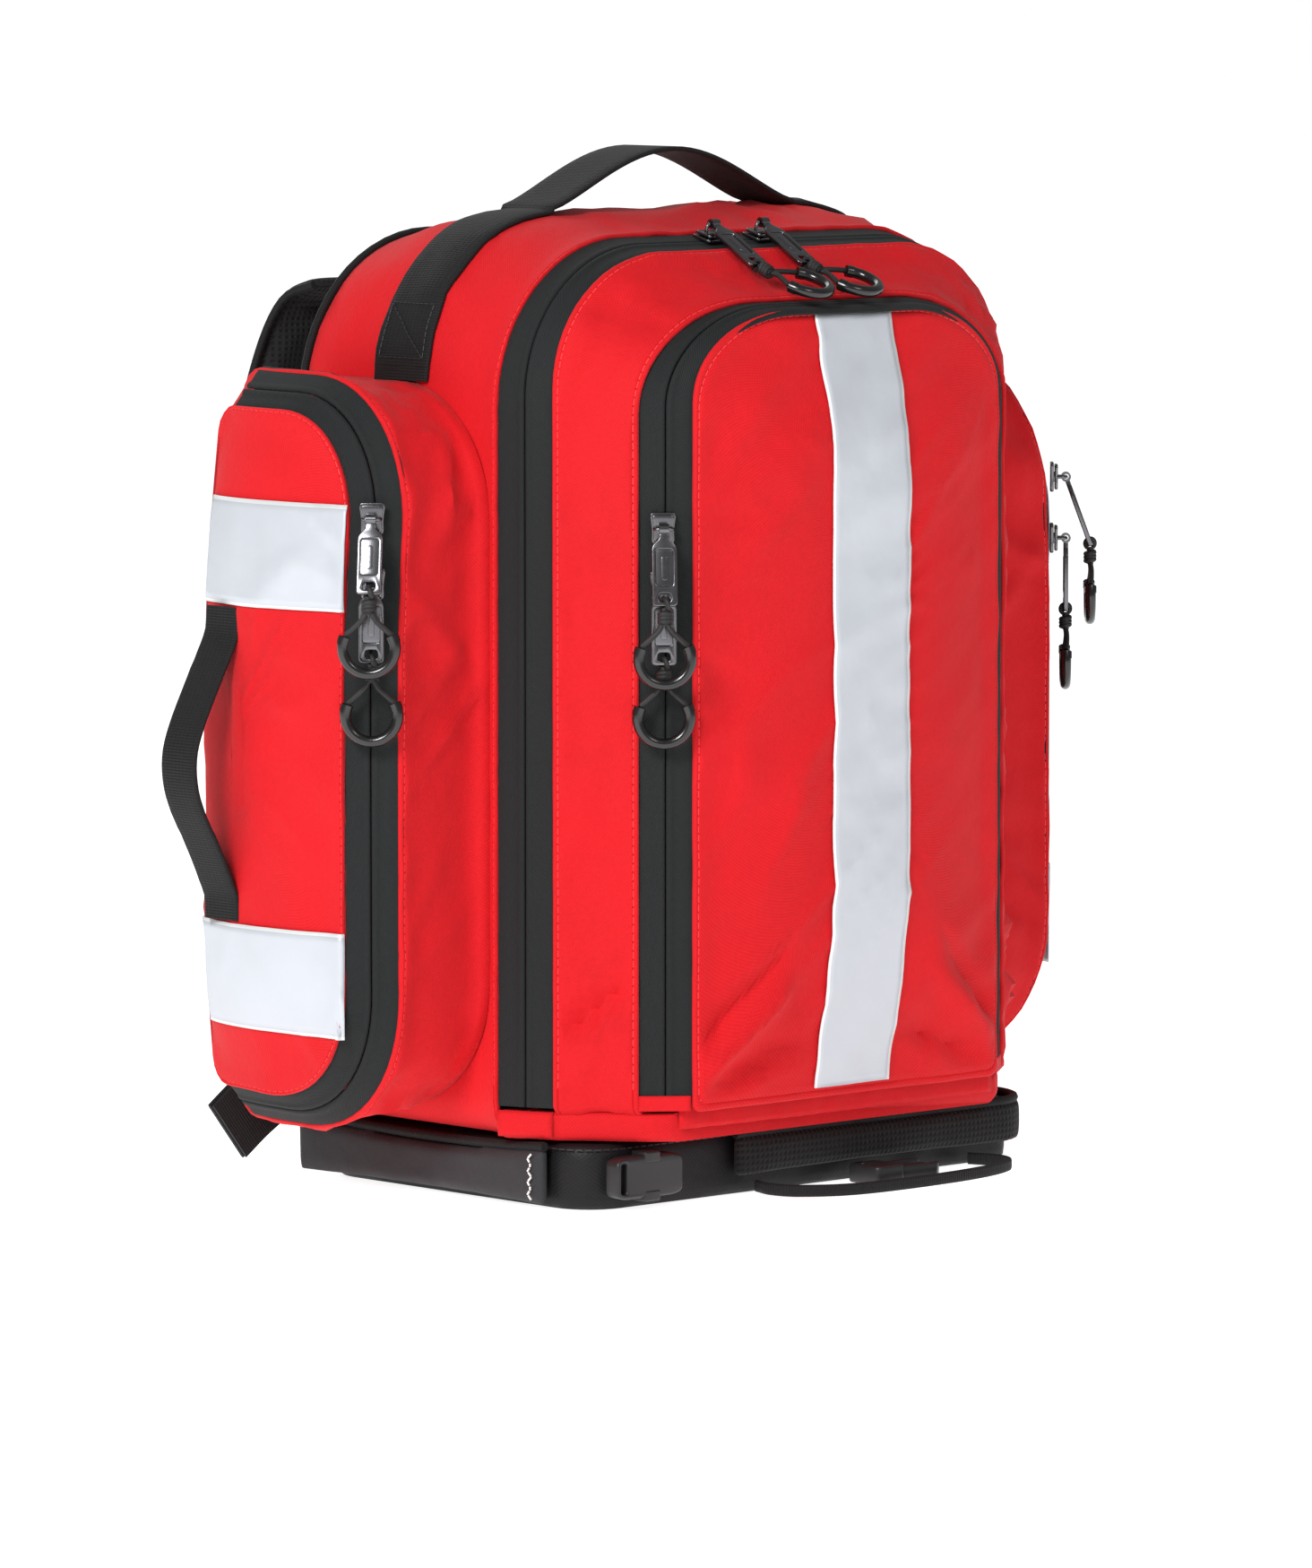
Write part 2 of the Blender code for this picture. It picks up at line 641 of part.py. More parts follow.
def side_seat(first, second, side, height):
    """Seat on the straight side of a zip whose tape runs between two sections."""
    middle = between(first, second, 0.5)
    grow = TRIM_GAP + TAPE_THICKNESS
    run, depth = first.half - second.half, second.y - first.y
    point = Vector((side * (middle.half + grow), middle.y, height))
    normal = Vector((side * -depth, -run, 0))
    return Seat(point, Vector((0, 0, 1)), normal)


def top_seat(first, second, x):
    middle = between(first, second, 0.5)
    grow = TRIM_GAP + TAPE_THICKNESS
    drop, depth = first.high - second.high, second.y - first.y
    point = Vector((x, middle.y, middle.high + grow))
    normal = Vector((0, -drop, -depth))
    return Seat(point, Vector((0, 1, 0)), normal)


def pocket_seat(side, height):
    inner, outer = pocket_sections()[-1], door_sections()[0]
    middle = between(inner, outer, 0.5)
    grow = TRIM_GAP + TAPE_THICKNESS
    run, depth = outer.x - inner.x, outer.front - inner.front
    point = Vector((side * middle.x, middle.front - grow, height))
    normal = Vector((side * depth, -run, 0))
    return Seat(point, Vector((0, 0, 1)), normal)


def build_puller_set(label, seat, on_top, lean, hang, skew):
    """One slider with its puller and cord pull. Angles in degrees, outwards positive."""
    frame = frame_of(seat)
    sizes = (SLIDER_LENGTH, SLIDER_WIDTH) if on_top else (SLIDER_WIDTH, SLIDER_LENGTH)
    slider = slider_mesh(*sizes)
    add_object(f"{label}_slider", slider, METAL, frame)
    pivot = frame @ Matrix.Translation((0, 0, BAIL_AXIS))
    puller_frame = pivot @ Matrix.Rotation(math.radians(-lean), 4, "X")
    add_object(f"{label}_puller", puller_mesh(), METAL, puller_frame)
    lower_bar = puller_frame @ Vector((0, -PULLER_REACH, 0))
    turn = frame.to_3x3() @ Matrix.Rotation(math.radians(-hang), 3, "X")
    pull_frame = Matrix.Translation(lower_bar) @ turn.to_4x4()
    add_object(f"{label}_pull", pull_mesh(skew), CORD, pull_frame)


def build_sliders():
    main = rear_sections()[-1], main_tape_front_section()
    front = front_tape_sections(BODY_LOW, LOW_CORNER)
    build_puller_set("main_left", top_seat(*main, -0.033), True, -17, -8, 38)
    build_puller_set("main_right", top_seat(*main, 0.000), True, -17, -8, 38)
    build_puller_set("front_upper", side_seat(*front, -1, BODY_CREST - 0.147), False, 12, 0, 0)
    build_puller_set("front_lower", side_seat(*front, -1, BODY_CREST - 0.175), False, 0, 0, 0)
    for side, label in ((-1, "left"), (1, "right")):
        build_puller_set(f"{label}_upper", pocket_seat(side, POCKET_HIGH - 0.064), False, 20, 0, 0)
        build_puller_set(f"{label}_lower", pocket_seat(side, POCKET_HIGH - 0.095), False, 0, 0, 0)


# ---- handle, base, back and harness --------------------------------------------------
def build_carry_handle():
    """Webbing sewn up both sides and over the shoulders of the pack, with a free arch."""
    crest = rear_sections()[4]
    lift = TRIM_GAP + WEBBING_THICK / 2
    path = [p for p in arch(crest, HANDLE_END, lift) if p[0] < -HANDLE_FREE]
    seat = crest.high + lift
    path.append((-HANDLE_FREE, seat))
    steps = 8
    for step in range(1, steps + 1):
        share = step / steps
        rise = math.sin(share * math.pi / 2) ** 1.25
        path.append((-HANDLE_FREE * (1 - share), seat + (HANDLE_PEAK - WEBBING_THICK - seat) * rise))
    path += [(-x, z) for x, z in reversed(path[:-1])]
    points = [(x, HANDLE_Y, z) for x, z in path]
    add_object("carry_handle", ribbon("carry_handle", points, (0, 1, 0), HANDLE_WIDTH, WEBBING_THICK), WEBBING)


def plan_ring(half, front, back, corner, z):
    """A rounded rectangle lying flat at height z."""
    path = arc((half - corner, back - corner), (corner, corner), 0, 90, 4)
    path += arc((-half + corner, back - corner), (corner, corner), 90, 180, 4)
    path += arc((-half + corner, front + corner), (corner, corner), 180, 270, 4)
    path += arc((half - corner, front + corner), (corner, corner), 270, 360, 4)
    return [(x, y, z) for x, y in path]


def build_base():
    edge = 0.004
    levels = ((0.0, edge), (edge, 0.0), (BASE_HEIGHT - edge, 0.0), (BASE_HEIGHT, edge))
    rings = []
    for height, inset in levels:
        rings.append(plan_ring(BASE_HALF_WIDTH - inset, BASE_FRONT + inset, BASE_BACK - inset,
                               BASE_CORNER - inset, height))
    add_object("base_boot", loft("base_boot", rings), BOOT)


def upright_ring(half, low, high, corner, y):
    path = arc((half - corner, high - corner), (corner, corner), 0, 90, 4)
    path += arc((-half + corner, high - corner), (corner, corner), 90, 180, 4)
    path += arc((-half + corner, low + corner), (corner, corner), 180, 270, 4)
    path += arc((half - corner, low + corner), (corner, corner), 270, 360, 4)
    return [(x, y, z) for x, z in path]


def build_back():
    """Stiffening sheet against the main compartment, and the padded panel over it."""
    sheet_front = BODY_BACK + GAP
    sheet = [upright_ring(SHEET_HALF_WIDTH, 0.060, BODY_CREST - 0.050, 0.040, y)
             for y in (sheet_front, sheet_front + SHEET_THICK)]
    add_object("frame_sheet", loft("frame_sheet", sheet), BOARD)
    pad_front = sheet_front + SHEET_THICK + GAP
    edge = 0.006
    levels = ((pad_front, edge / 2), (pad_front + edge / 2, 0.0), (pad_front + PAD_THICK - edge, 0.0),
              (pad_front + PAD_THICK, edge))
    pad = [upright_ring(PAD_HALF_WIDTH - inset, 0.045 + inset, BODY_CREST - 0.040 - inset, 0.050 - inset, y)
           for y, inset in levels]
    add_object("back_panel", loft("back_panel", pad), MESH)


STRAP_TOP = (0.088, 0.130, 0.432)
STRAP_STATIONS = (
    (0.088, 0.1335, 0.436, 1.0, 0.8), (0.094, 0.150, 0.428, 1.0, 1.0), (0.101, 0.161, 0.400, 1.0, 1.0),
    (0.110, 0.168, 0.350, 1.0, 1.0), (0.118, 0.170, 0.290, 1.0, 1.0), (0.124, 0.167, 0.230, 1.0, 1.0),
    (0.129, 0.160, 0.175, 0.9, 0.9), (0.132, 0.154, 0.140, 0.62, 0.7), (0.133, 0.151, 0.128, 0.0, 0.0),
    (0.138, 0.145, 0.095, 0.0, 0.0), (0.144, 0.138, 0.060, 0.0, 0.0), (0.148, 0.134, 0.040, 0.0, 0.0),
)


def strap_ring(station, tangent, side):
    """One cross-section of a shoulder strap, from padded to plain webbing."""
    x, y, z, padded, thick = station
    width = STRAP_WEB_WIDTH + (STRAP_WIDTH - STRAP_WEB_WIDTH) * padded
    depth = WEBBING_THICK + (STRAP_THICK - WEBBING_THICK) * thick
    across = Vector((1, 0, 0))
    lift = tangent.cross(across).normalized() * depth / 2
    point = Vector((x, y, z))
    corners = []
    for a, b in ((-1, -0.4), (-0.8, -1), (0.8, -1), (1, -0.4), (1, 0.4), (0.8, 1), (-0.8, 1), (-1, 0.4)):
        corner = point + across * (a * width / 2) + lift * b
        corners.append((side * corner.x, corner.y, corner.z))
    return corners


def build_shoulder_straps():
    for side, label in ((-1, "left"), (1, "right")):
        rings = []
        last = len(STRAP_STATIONS) - 1
        for i, station in enumerate(STRAP_STATIONS):
            before = Vector(STRAP_STATIONS[max(i - 1, 0)][:3])
            after = Vector(STRAP_STATIONS[min(i + 1, last)][:3])
            rings.append(strap_ring(station, (after - before).normalized(), side))
        name = f"shoulder_strap_{label}"
        pivot = (side * STRAP_TOP[0], STRAP_TOP[1], STRAP_TOP[2])
        move_origin(add_object(name, loft(name, rings), MESH), pivot)
        build_ladder_lock(side, label, pivot)


def build_ladder_lock(side, label, pivot):
    """Adjuster frame round the strap's webbing."""
    upper, lower = Vector(STRAP_STATIONS[9][:3]), Vector(STRAP_STATIONS[10][:3])
    middle, along = (upper + lower) / 2, (upper - lower).normalized()
    across = Vector((1, 0, 0))
    normal = along.cross(across).normalized()
    across = along.cross(normal)
    turn = Matrix((across, along, normal)).transposed().to_4x4()
    frame = Matrix.Translation(middle) @ turn
    window = STRAP_WEB_WIDTH / 2 + 0.0045, WEBBING_THICK / 2 + GAP
    outer = window[0] + 0.004, window[1] + 0.0026
    length = 0.026
    body = box_mesh("body", (-outer[0], -length / 2, -outer[1]), (outer[0], length / 2, outer[1]))
    hole = box_mesh("hole", (-window[0], -length, -window[1]), (window[0], length, window[1]))
    mesh = combine("lock", body, hole, "DIFFERENCE")
    mesh.transform(frame)
    if side < 0:
        mesh = mirrored(mesh, "lock")
    move_origin(add_object(f"ladder_lock_{label}", mesh, ACETAL), pivot)


WING_PIVOT = (0.1535, 0.105, 0.016)


def wall_along(name, path, half_thick, low, high):
    """An upright band of constant thickness along a plan path."""
    points = [Vector((x, y, 0)) for x, y in path]
    rings = []
    for i, point in enumerate(points):
        tangent = (points[min(i + 1, len(points) - 1)] - points[max(i - 1, 0)]).normalized()
        side = Vector((-tangent.y, tangent.x, 0)) * half_thick
        near, far = point - side, point + side
        rings.append([(near.x, near.y, low), (far.x, far.y, low), (far.x, far.y, high), (near.x, near.y, high)])
    return loft(name, rings)


def build_hip_belt():
    """Two padded wings folded round the base, the belt's webbing loop and the buckle's halves."""
    line = BASE_HALF_WIDTH + GAP + WING_THICK / 2
    front = BASE_FRONT - GAP - WING_THICK / 2
    corner = BASE_CORNER + GAP + WING_THICK / 2
    left_path = [(-line, WING_PIVOT[1]), (-line, 0.04), (-line, -0.02), (-line, front + corner)]
    left = wall_along("wing", left_path, WING_THICK / 2, LEFT_WING_LOW, WING_TOP)
    bend = arc((line - corner, front + corner), (corner, corner), 0, -90, 5)
    right_path = [(line, WING_PIVOT[1]), (line, 0.0), *bend, (0.05, front), (RIGHT_WING_END, front)]
    right = wall_along("wing", right_path, WING_THICK / 2, RIGHT_WING_LOW, WING_TOP)
    loop_start = front - WING_THICK / 2 + 0.004
    loop = [
        (0.104, loop_start), (0.110, front - 0.018), (0.100, front - 0.032), (0.070, front - 0.041),
        (0.025, front - 0.044), (-0.015, front - 0.041), (-0.038, front - 0.028), (-0.044, front - 0.014),
        (-0.041, loop_start),
    ]
    web_low = 0.0012
    web = wall_along("web", loop, BELT_LOOP_THICK / 2, web_low, web_low + BELT_LOOP_HEIGHT)
    male = buckle_half("male", (0.010, front - 0.034, web_low), (0.056, front - 0.010, 0.013))
    female_front = front - 0.007
    female = buckle_half("female", (-0.138, female_front, 0.006), (-0.094, BASE_FRONT - GAP, 0.027))
    pieces = (
        ("hip_wing_left", left, BELT, -1), ("hip_wing_right", right, BELT, 1),
        ("waist_webbing", web, WEBBING, 1), ("waist_buckle_male", male, ACETAL, 1),
        ("waist_buckle_female", female, ACETAL, -1),
    )
    for name, mesh, finish, side in pieces:
        item = add_object(name, mesh, finish)
        move_origin(item, (side * WING_PIVOT[0], WING_PIVOT[1], WING_PIVOT[2]))


def buckle_half(name, low, high):
    """A block with bevelled long edges."""
    shape = bmesh.new()
    shape.from_mesh(box_mesh(name, low, high))
    edges = [e for e in shape.edges if abs(e.verts[0].co.x - e.verts[1].co.x) > 0.001]
    bmesh.ops.bevel(shape, geom=edges, offset=0.0025, segments=1, profile=0.5, affect="EDGES", material=-1)
    return as_mesh(name, shape)


def main():
    clear_scene()
    build_rear_shell()
    build_bottom_fold()
    build_main_lid()
    build_front_flap()
    build_front_stripe()
    build_front_zips()
    build_side_pockets()
    build_sliders()
    build_carry_handle()
    build_base()
    build_back()
    build_shoulder_straps()
    build_hip_belt()


main()
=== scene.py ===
"""Trauma backpack in red nylon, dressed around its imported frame.

Metres, +Z up, front towards -Y. "Left" and "right" are as seen from the front.
"""

import logging
import math
from dataclasses import dataclass, fields, replace
from enum import Enum
from typing import Callable, Iterable, Optional, Sequence

import bmesh
import bpy
import numpy as np
from mathutils import Matrix, Vector, noise
from mathutils.bvhtree import BVHTree


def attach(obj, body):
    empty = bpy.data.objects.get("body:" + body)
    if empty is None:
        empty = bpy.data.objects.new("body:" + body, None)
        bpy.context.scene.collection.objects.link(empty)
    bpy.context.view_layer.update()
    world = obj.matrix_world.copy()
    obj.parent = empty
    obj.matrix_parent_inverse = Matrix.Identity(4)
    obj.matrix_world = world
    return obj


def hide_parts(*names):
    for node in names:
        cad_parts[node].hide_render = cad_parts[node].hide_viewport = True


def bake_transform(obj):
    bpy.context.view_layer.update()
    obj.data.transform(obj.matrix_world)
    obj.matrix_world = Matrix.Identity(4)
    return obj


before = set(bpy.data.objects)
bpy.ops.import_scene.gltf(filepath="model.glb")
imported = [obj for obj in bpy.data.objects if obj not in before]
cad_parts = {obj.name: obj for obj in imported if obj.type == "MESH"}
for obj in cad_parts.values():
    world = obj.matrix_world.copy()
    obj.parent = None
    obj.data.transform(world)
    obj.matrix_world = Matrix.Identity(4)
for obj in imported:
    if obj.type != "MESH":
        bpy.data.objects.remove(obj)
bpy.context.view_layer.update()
LOG = logging.getLogger("backpack")

Colour = tuple[float, float, float]
Spot = tuple[float, float]              # a point of a flat outline
Place = tuple[float, float, float]      # a point in metres
Piece = bpy.types.Object
Shape = bmesh.types.BMesh
SIDES = ((-1, "left"), (1, "right"))
FABRIC_WALL = 0.0024                    # main fabric with its lining and padding
STRIP_WALL = 0.0012                     # a single strip of the main fabric
TAPE_WALL = 0.0006                      # reflective tape
TAPE_WIDTH = 0.0508                     # two inch reflective tape
WEB_WALL = 0.0024                       # webbing
GRAB_WIDTH = 0.025                      # one inch webbing
STITCH_ROW = 5                          # the row of a panel that lies in its stitched groove
STITCH_LOW = 0.0520                     # no stitch shows below this height
WELD = 1e-6                             # points closer than this are one point


# ---- finishes ------------------------------------------------------------------------
class Cloth(Enum):
    """How a fabric's threads run."""

    PLAIN = "plain"
    TWILL = "twill"
    RIB = "rib"
    SPACER = "spacer"


class Graph:
    """A material's node tree with short ways to add and join nodes."""

    def __init__(self, name: str) -> None:
        """Starts a material that holds only its shader and output.

        Args:
            name: The material's name.
        """
        self.material = bpy.data.materials.new(name)
        self.material.use_nodes = True
        self.tree = self.material.node_tree
        self.shader = self.tree.nodes["Principled BSDF"]

    def add(self, kind: str, **settings: object) -> bpy.types.Node:
        """Adds a node.

        Args:
            kind: The node's type without its ShaderNode prefix.
            settings: Properties of the node.

        Returns:
            The new node.
        """
        node = self.tree.nodes.new("ShaderNode" + kind)
        for key, value in settings.items():
            setattr(node, key, value)
        return node

    def join(self, source: object, target: object) -> None:
        """Links an output socket to an input socket."""
        self.tree.links.new(source, target)

    def maths(self, operation: str, *values: object) -> object:
        """Adds a Math node and returns its output; values are sockets or numbers.

        Args:
            operation: The node's operation.
            values: Sockets or numbers, in the order of its inputs.

        Returns:
            The output socket.
        """
        node = self.add("Math", operation=operation)
        for slot, value in enumerate(values):
            if isinstance(value, (int, float)):
                node.inputs[slot].default_value = value
            else:
                self.join(value, node.inputs[slot])
        return node.outputs[0]

    def wave(self, value: object, rate: float) -> object:
        """Adds the sine of a socket's value times a rate and returns its output."""
        return self.maths("SINE", self.maths("MULTIPLY", value, rate))

    def noise(self, vector: object, scale: float, detail: float = 2.0) -> object:
        """Adds a noise texture on a vector and returns its value.

        Args:
            vector: The coordinates it reads.
            scale: Its scale.
            detail: Its octaves.

        Returns:
            The output socket.
        """
        node = self.add("TexNoise")
        node.inputs["Scale"].default_value = scale
        node.inputs["Detail"].default_value = detail
        self.join(vector, node.inputs["Vector"])
        return node.outputs[0]

    def tint(self, factor: object, low: Colour, high: Colour) -> object:
        """Mixes two colours by a factor and returns the colour.

        Args:
            factor: The share of the second colour.
            low: Colour at 0.
            high: Colour at 1.

        Returns:
            The output socket.
        """
        node = self.add("Mix", data_type="RGBA")
        self.join(factor, node.inputs[0])
        node.inputs[6].default_value = (*low, 1.0)
        node.inputs[7].default_value = (*high, 1.0)
        return node.outputs[2]

    def bump(self, height: object, distance: float, strength: float = 1.0, below: object = None) -> object:
        """Adds a bump of a real height in metres over an earlier one.

        Args:
            height: The height's socket.
            distance: How tall a height of 1 is.
            strength: How strongly it shows.
            below: The bump under it, if any.

        Returns:
            The normal's socket.
        """
        node = self.add("Bump")
        node.inputs["Distance"].default_value = distance
        node.inputs["Strength"].default_value = strength
        self.join(height, node.inputs["Height"])
        if below is not None:
            self.join(below, node.inputs["Normal"])
        return node.outputs[0]

    def set(self, **values: object) -> None:
        """Sets constants on the shader's own sockets."""
        for key, value in values.items():
            self.shader.inputs[key.replace("_", " ")].default_value = value


@dataclass(frozen=True)
class Fabric:
    """A woven or knitted fabric whose threads follow the piece's own UV map, in metres."""

    name: str
    colour: Colour
    dark: Colour
    pitch: float
    cloth: Cloth = Cloth.PLAIN
    roughness: float = 0.75
    sheen: float = 0.2
    relief: float = 0.00012
    crumple: float = 0.0007
    mottle: float = 0.35

    def threads(self, graph: Graph, across: object, along: object) -> object:
        """Builds the thread pattern.

        Args:
            graph: The material's graph.
            across: Coordinate across the piece in threads.
            along: Coordinate along the piece in threads.

        Returns:
            The pattern's height from 0 to 1.
        """
        if self.cloth is Cloth.RIB:
            rib = graph.maths("ABSOLUTE", graph.wave(along, math.pi))
            yarn = graph.maths("ABSOLUTE", graph.wave(across, math.pi / 2))
            return graph.maths("MULTIPLY", rib, graph.maths("MULTIPLY_ADD", yarn, 0.5, 0.5))
        if self.cloth is Cloth.TWILL:
            slant = graph.maths("ADD", across, graph.maths("MULTIPLY", along, 0.6))
            return graph.maths("ABSOLUTE", graph.wave(slant, math.pi))
        warp, weft = graph.wave(across, math.pi), graph.wave(along, math.pi)
        if self.cloth is Cloth.SPACER:
            hole = graph.maths("MULTIPLY", graph.maths("POWER", warp, 2.0), graph.maths("POWER", weft, 2.0))
            return graph.maths("SUBTRACT", 1.0, hole)
        return graph.maths("MULTIPLY_ADD", graph.maths("MULTIPLY", warp, weft), 0.5, 0.5)

    def build(self) -> bpy.types.Material:
        """Makes the material.

        Returns:
            The material.
        """
        graph = Graph(self.name)
        place = graph.add("TexCoord")
        split = graph.add("SeparateXYZ")
        graph.join(place.outputs["UV"], split.inputs[0])
        across = graph.maths("DIVIDE", split.outputs[0], self.pitch)
        along = graph.maths("DIVIDE", split.outputs[1], self.pitch)
        weave = self.threads(graph, across, along)
        patch = graph.noise(place.outputs["Object"], 14.0, 3.0)
        fleck = graph.noise(place.outputs["Object"], 420.0, 2.0)
        blend = graph.maths("MULTIPLY_ADD", weave, 0.45, graph.maths("MULTIPLY", fleck, 0.25))
        blend = graph.maths("MULTIPLY_ADD", patch, self.mottle, blend)
        graph.join(graph.tint(blend, self.dark, self.colour), graph.shader.inputs["Base Color"])
        soft = graph.noise(place.outputs["Object"], 55.0, 3.0)
        rough = graph.maths("MULTIPLY_ADD", patch, 0.12, self.roughness - 0.06)
        graph.join(rough, graph.shader.inputs["Roughness"])
        normal = graph.bump(soft, self.crumple)
        normal = graph.bump(weave, self.relief, 0.8, normal)
        graph.join(normal, graph.shader.inputs["Normal"])
        graph.set(Sheen_Weight=self.sheen, Sheen_Roughness=0.5, Specular_IOR_Level=0.25)
        return graph.material


@dataclass(frozen=True)
class Reflective:
    """Silver reflective tape, with a paler woven edge either side."""

    name: str
    width: float
    colour: Colour = (0.60, 0.63, 0.68)
    edge_colour: Colour = (0.80, 0.82, 0.82)
    edge: float = 0.0014

    def build(self) -> bpy.types.Material:
        """Makes the material. The piece's U runs across the tape from 0 to its width.

        Returns:
            The material.
        """
        graph = Graph(self.name)
        place = graph.add("TexCoord")
        split = graph.add("SeparateXYZ")
        graph.join(place.outputs["UV"], split.inputs[0])
        centred = graph.maths("ABSOLUTE", graph.maths("SUBTRACT", split.outputs[0], self.width / 2))
        rim = graph.maths("GREATER_THAN", centred, self.width / 2 - self.edge)
        cell = graph.add("TexVoronoi", feature="DISTANCE_TO_EDGE")
        cell.inputs["Scale"].default_value = 900.0
        graph.join(place.outputs["UV"], cell.inputs["Vector"])
        cloud = graph.noise(place.outputs["Object"], 25.0, 3.0)
        shade = tuple(0.86 * c for c in self.colour)
        plain = graph.tint(cloud, shade, self.colour)
        mix = graph.add("Mix", data_type="RGBA")
        graph.join(rim, mix.inputs[0])
        graph.join(plain, mix.inputs[6])
        mix.inputs[7].default_value = (*self.edge_colour, 1.0)
        graph.join(mix.outputs[2], graph.shader.inputs["Base Color"])
        normal = graph.bump(cell.outputs["Distance"], 0.00003)
        normal = graph.bump(graph.noise(place.outputs["Object"], 70.0, 2.0), 0.00035, 1.0, normal)
        graph.join(normal, graph.shader.inputs["Normal"])
        graph.join(graph.maths("MULTIPLY_ADD", cloud, 0.2, 0.32), graph.shader.inputs["Roughness"])
        graph.set(Metallic=0.15, Specular_IOR_Level=0.5)
        return graph.material


@dataclass(frozen=True)
class Solid:
    """Metal, moulded plastic, rubber or thread, with fine grain and wear."""

    name: str
    colour: Colour
    roughness: float
    metallic: float = 0.0
    grain: float = 900.0
    relief: float = 0.00002
    wear: float = 0.15
    coat: float = 0.0

    def build(self) -> bpy.types.Material:
        """Makes the material.

        Returns:
            The material.
        """
        graph = Graph(self.name)
        place = graph.add("TexCoord")
        fine = graph.noise(place.outputs["Object"], self.grain, 2.0)
        broad = graph.noise(place.outputs["Object"], 160.0, 4.0)
        pale = tuple(min(1.0, c * (1.0 + 2.0 * self.wear) + 0.02 * self.wear) for c in self.colour)
        graph.join(graph.tint(broad, self.colour, pale), graph.shader.inputs["Base Color"])
        rough = graph.maths("MULTIPLY_ADD", broad, self.wear, max(0.05, self.roughness - self.wear / 2))
        graph.join(rough, graph.shader.inputs["Roughness"])
        graph.join(graph.bump(fine, self.relief), graph.shader.inputs["Normal"])
        graph.set(Metallic=self.metallic, Coat_Weight=self.coat, Coat_Roughness=0.15)
        return graph.material


class Wardrobe:
    """Every finish on the pack, each made once."""

    TABLE = (
        Fabric("red_nylon", (0.80, 0.0070, 0.014), (0.44, 0.0020, 0.005), 0.0008,
               sheen=0.04, relief=0.00009),
        Fabric("lining_nylon", (0.34, 0.010, 0.014), (0.22, 0.006, 0.010), 0.0009, sheen=0.05),
        Fabric("zip_tape_twill", (0.019, 0.022, 0.023), (0.006, 0.007, 0.007), 0.0011, Cloth.TWILL,
               roughness=0.75, sheen=0.02, relief=0.00018, crumple=0.0001, mottle=0.2),
        Fabric("black_webbing", (0.012, 0.012, 0.013), (0.003, 0.003, 0.003), 0.0014, Cloth.RIB,
               roughness=0.68, sheen=0.03, relief=0.0003, crumple=0.0001, mottle=0.2),
        Fabric("boot_fabric", (0.011, 0.011, 0.012), (0.004, 0.004, 0.005), 0.0010,
               roughness=0.5, sheen=0.0, crumple=0.0008),
        Fabric("belt_fabric", (0.040, 0.041, 0.044), (0.018, 0.019, 0.021), 0.0009,
               roughness=0.6, sheen=0.02, crumple=0.0009),
        Fabric("spacer_mesh", (0.018, 0.018, 0.019), (0.002, 0.002, 0.002), 0.0030, Cloth.SPACER,
               roughness=0.85, sheen=0.04, relief=0.0007, crumple=0.0005),
        Reflective("reflective_tape", TAPE_WIDTH),
        Solid("gunmetal", (0.15, 0.15, 0.16), 0.24, metallic=1.0, wear=0.06, relief=0.000004),
        Solid("pull_cord", (0.010, 0.010, 0.010), 0.6, grain=1500.0, relief=0.00025),
        Solid("grip_tube", (0.006, 0.006, 0.006), 0.22, grain=300.0, wear=0.08, coat=0.3),
        Solid("acetal", (0.011, 0.011, 0.012), 0.42, grain=1800.0, relief=0.00003),
        Solid("board", (0.05, 0.05, 0.05), 0.55),
        Solid("red_thread", (0.86, 0.045, 0.050), 0.55, grain=2500.0, relief=0.00008),
        Solid("black_thread", (0.016, 0.016, 0.017), 0.55, grain=2500.0, relief=0.00008),
        Solid("white_thread", (0.72, 0.72, 0.70), 0.6, grain=2500.0, relief=0.00008),
    )

    def __init__(self) -> None:
        """Makes the finishes."""
        self.made = {finish.name: finish.build() for finish in self.TABLE}

    def __getitem__(self, name: str) -> bpy.types.Material:
        """The material of that name."""
        return self.made[name]


WARDROBE = Wardrobe()


# ---- making and placing pieces -------------------------------------------------------
def finish_piece(name: str, shape: Shape, *finishes: str, angle: float = 50.0) -> Piece:
    """Turns a bmesh into a piece at the origin.

    Args:
        name: The piece's name.
        shape: Its shape, already in place.
        finishes: The finishes it wears; the first is its slot's.
        angle: Edges sharper than this stay sharp, in degrees.

    Returns:
        The piece.
    """
    mesh = bpy.data.meshes.new(name)
    shape.to_mesh(mesh)
    shape.free()
    for finish in finishes:
        mesh.materials.append(WARDROBE[finish])
    mesh.shade_smooth()
    mesh.set_sharp_from_angle(angle=math.radians(angle))
    piece = bpy.data.objects.new(name, mesh)
    bpy.context.scene.collection.objects.link(piece)
    return piece


def wear(piece: Piece, body: str, *nodes: str) -> Piece:
    """Puts a piece on a body, in place of CAD nodes, and reports it.

    Args:
        piece: The piece.
        body: The body it rides on.
        nodes: CAD nodes that it stands for.

    Returns:
        The piece.
    """
    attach(piece, body)
    if nodes:
        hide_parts(*nodes)
    LOG.info("%s rides on %s", piece.name, body)
    return piece


def thicken(piece: Piece, thickness: float, inner: int = 0) -> Piece:
    """Gives a sheet its wall, inwards, with a Solidify modifier.

    Args:
        piece: The piece.
        thickness: The wall's thickness.
        inner: Material step of its inside.

    Returns:
        The piece.
    """
    wall = piece.modifiers.new("wall", "SOLIDIFY")
    wall.thickness, wall.offset = thickness, -1.0
    wall.material_offset = inner
    return piece


def panel_of(name: str, shape: Shape) -> Piece:
    """A panel of the red fabric, with its lining on the inner side."""
    return thicken(finish_piece(name, shape, "red_nylon", "lining_nylon"), FABRIC_WALL, inner=1)


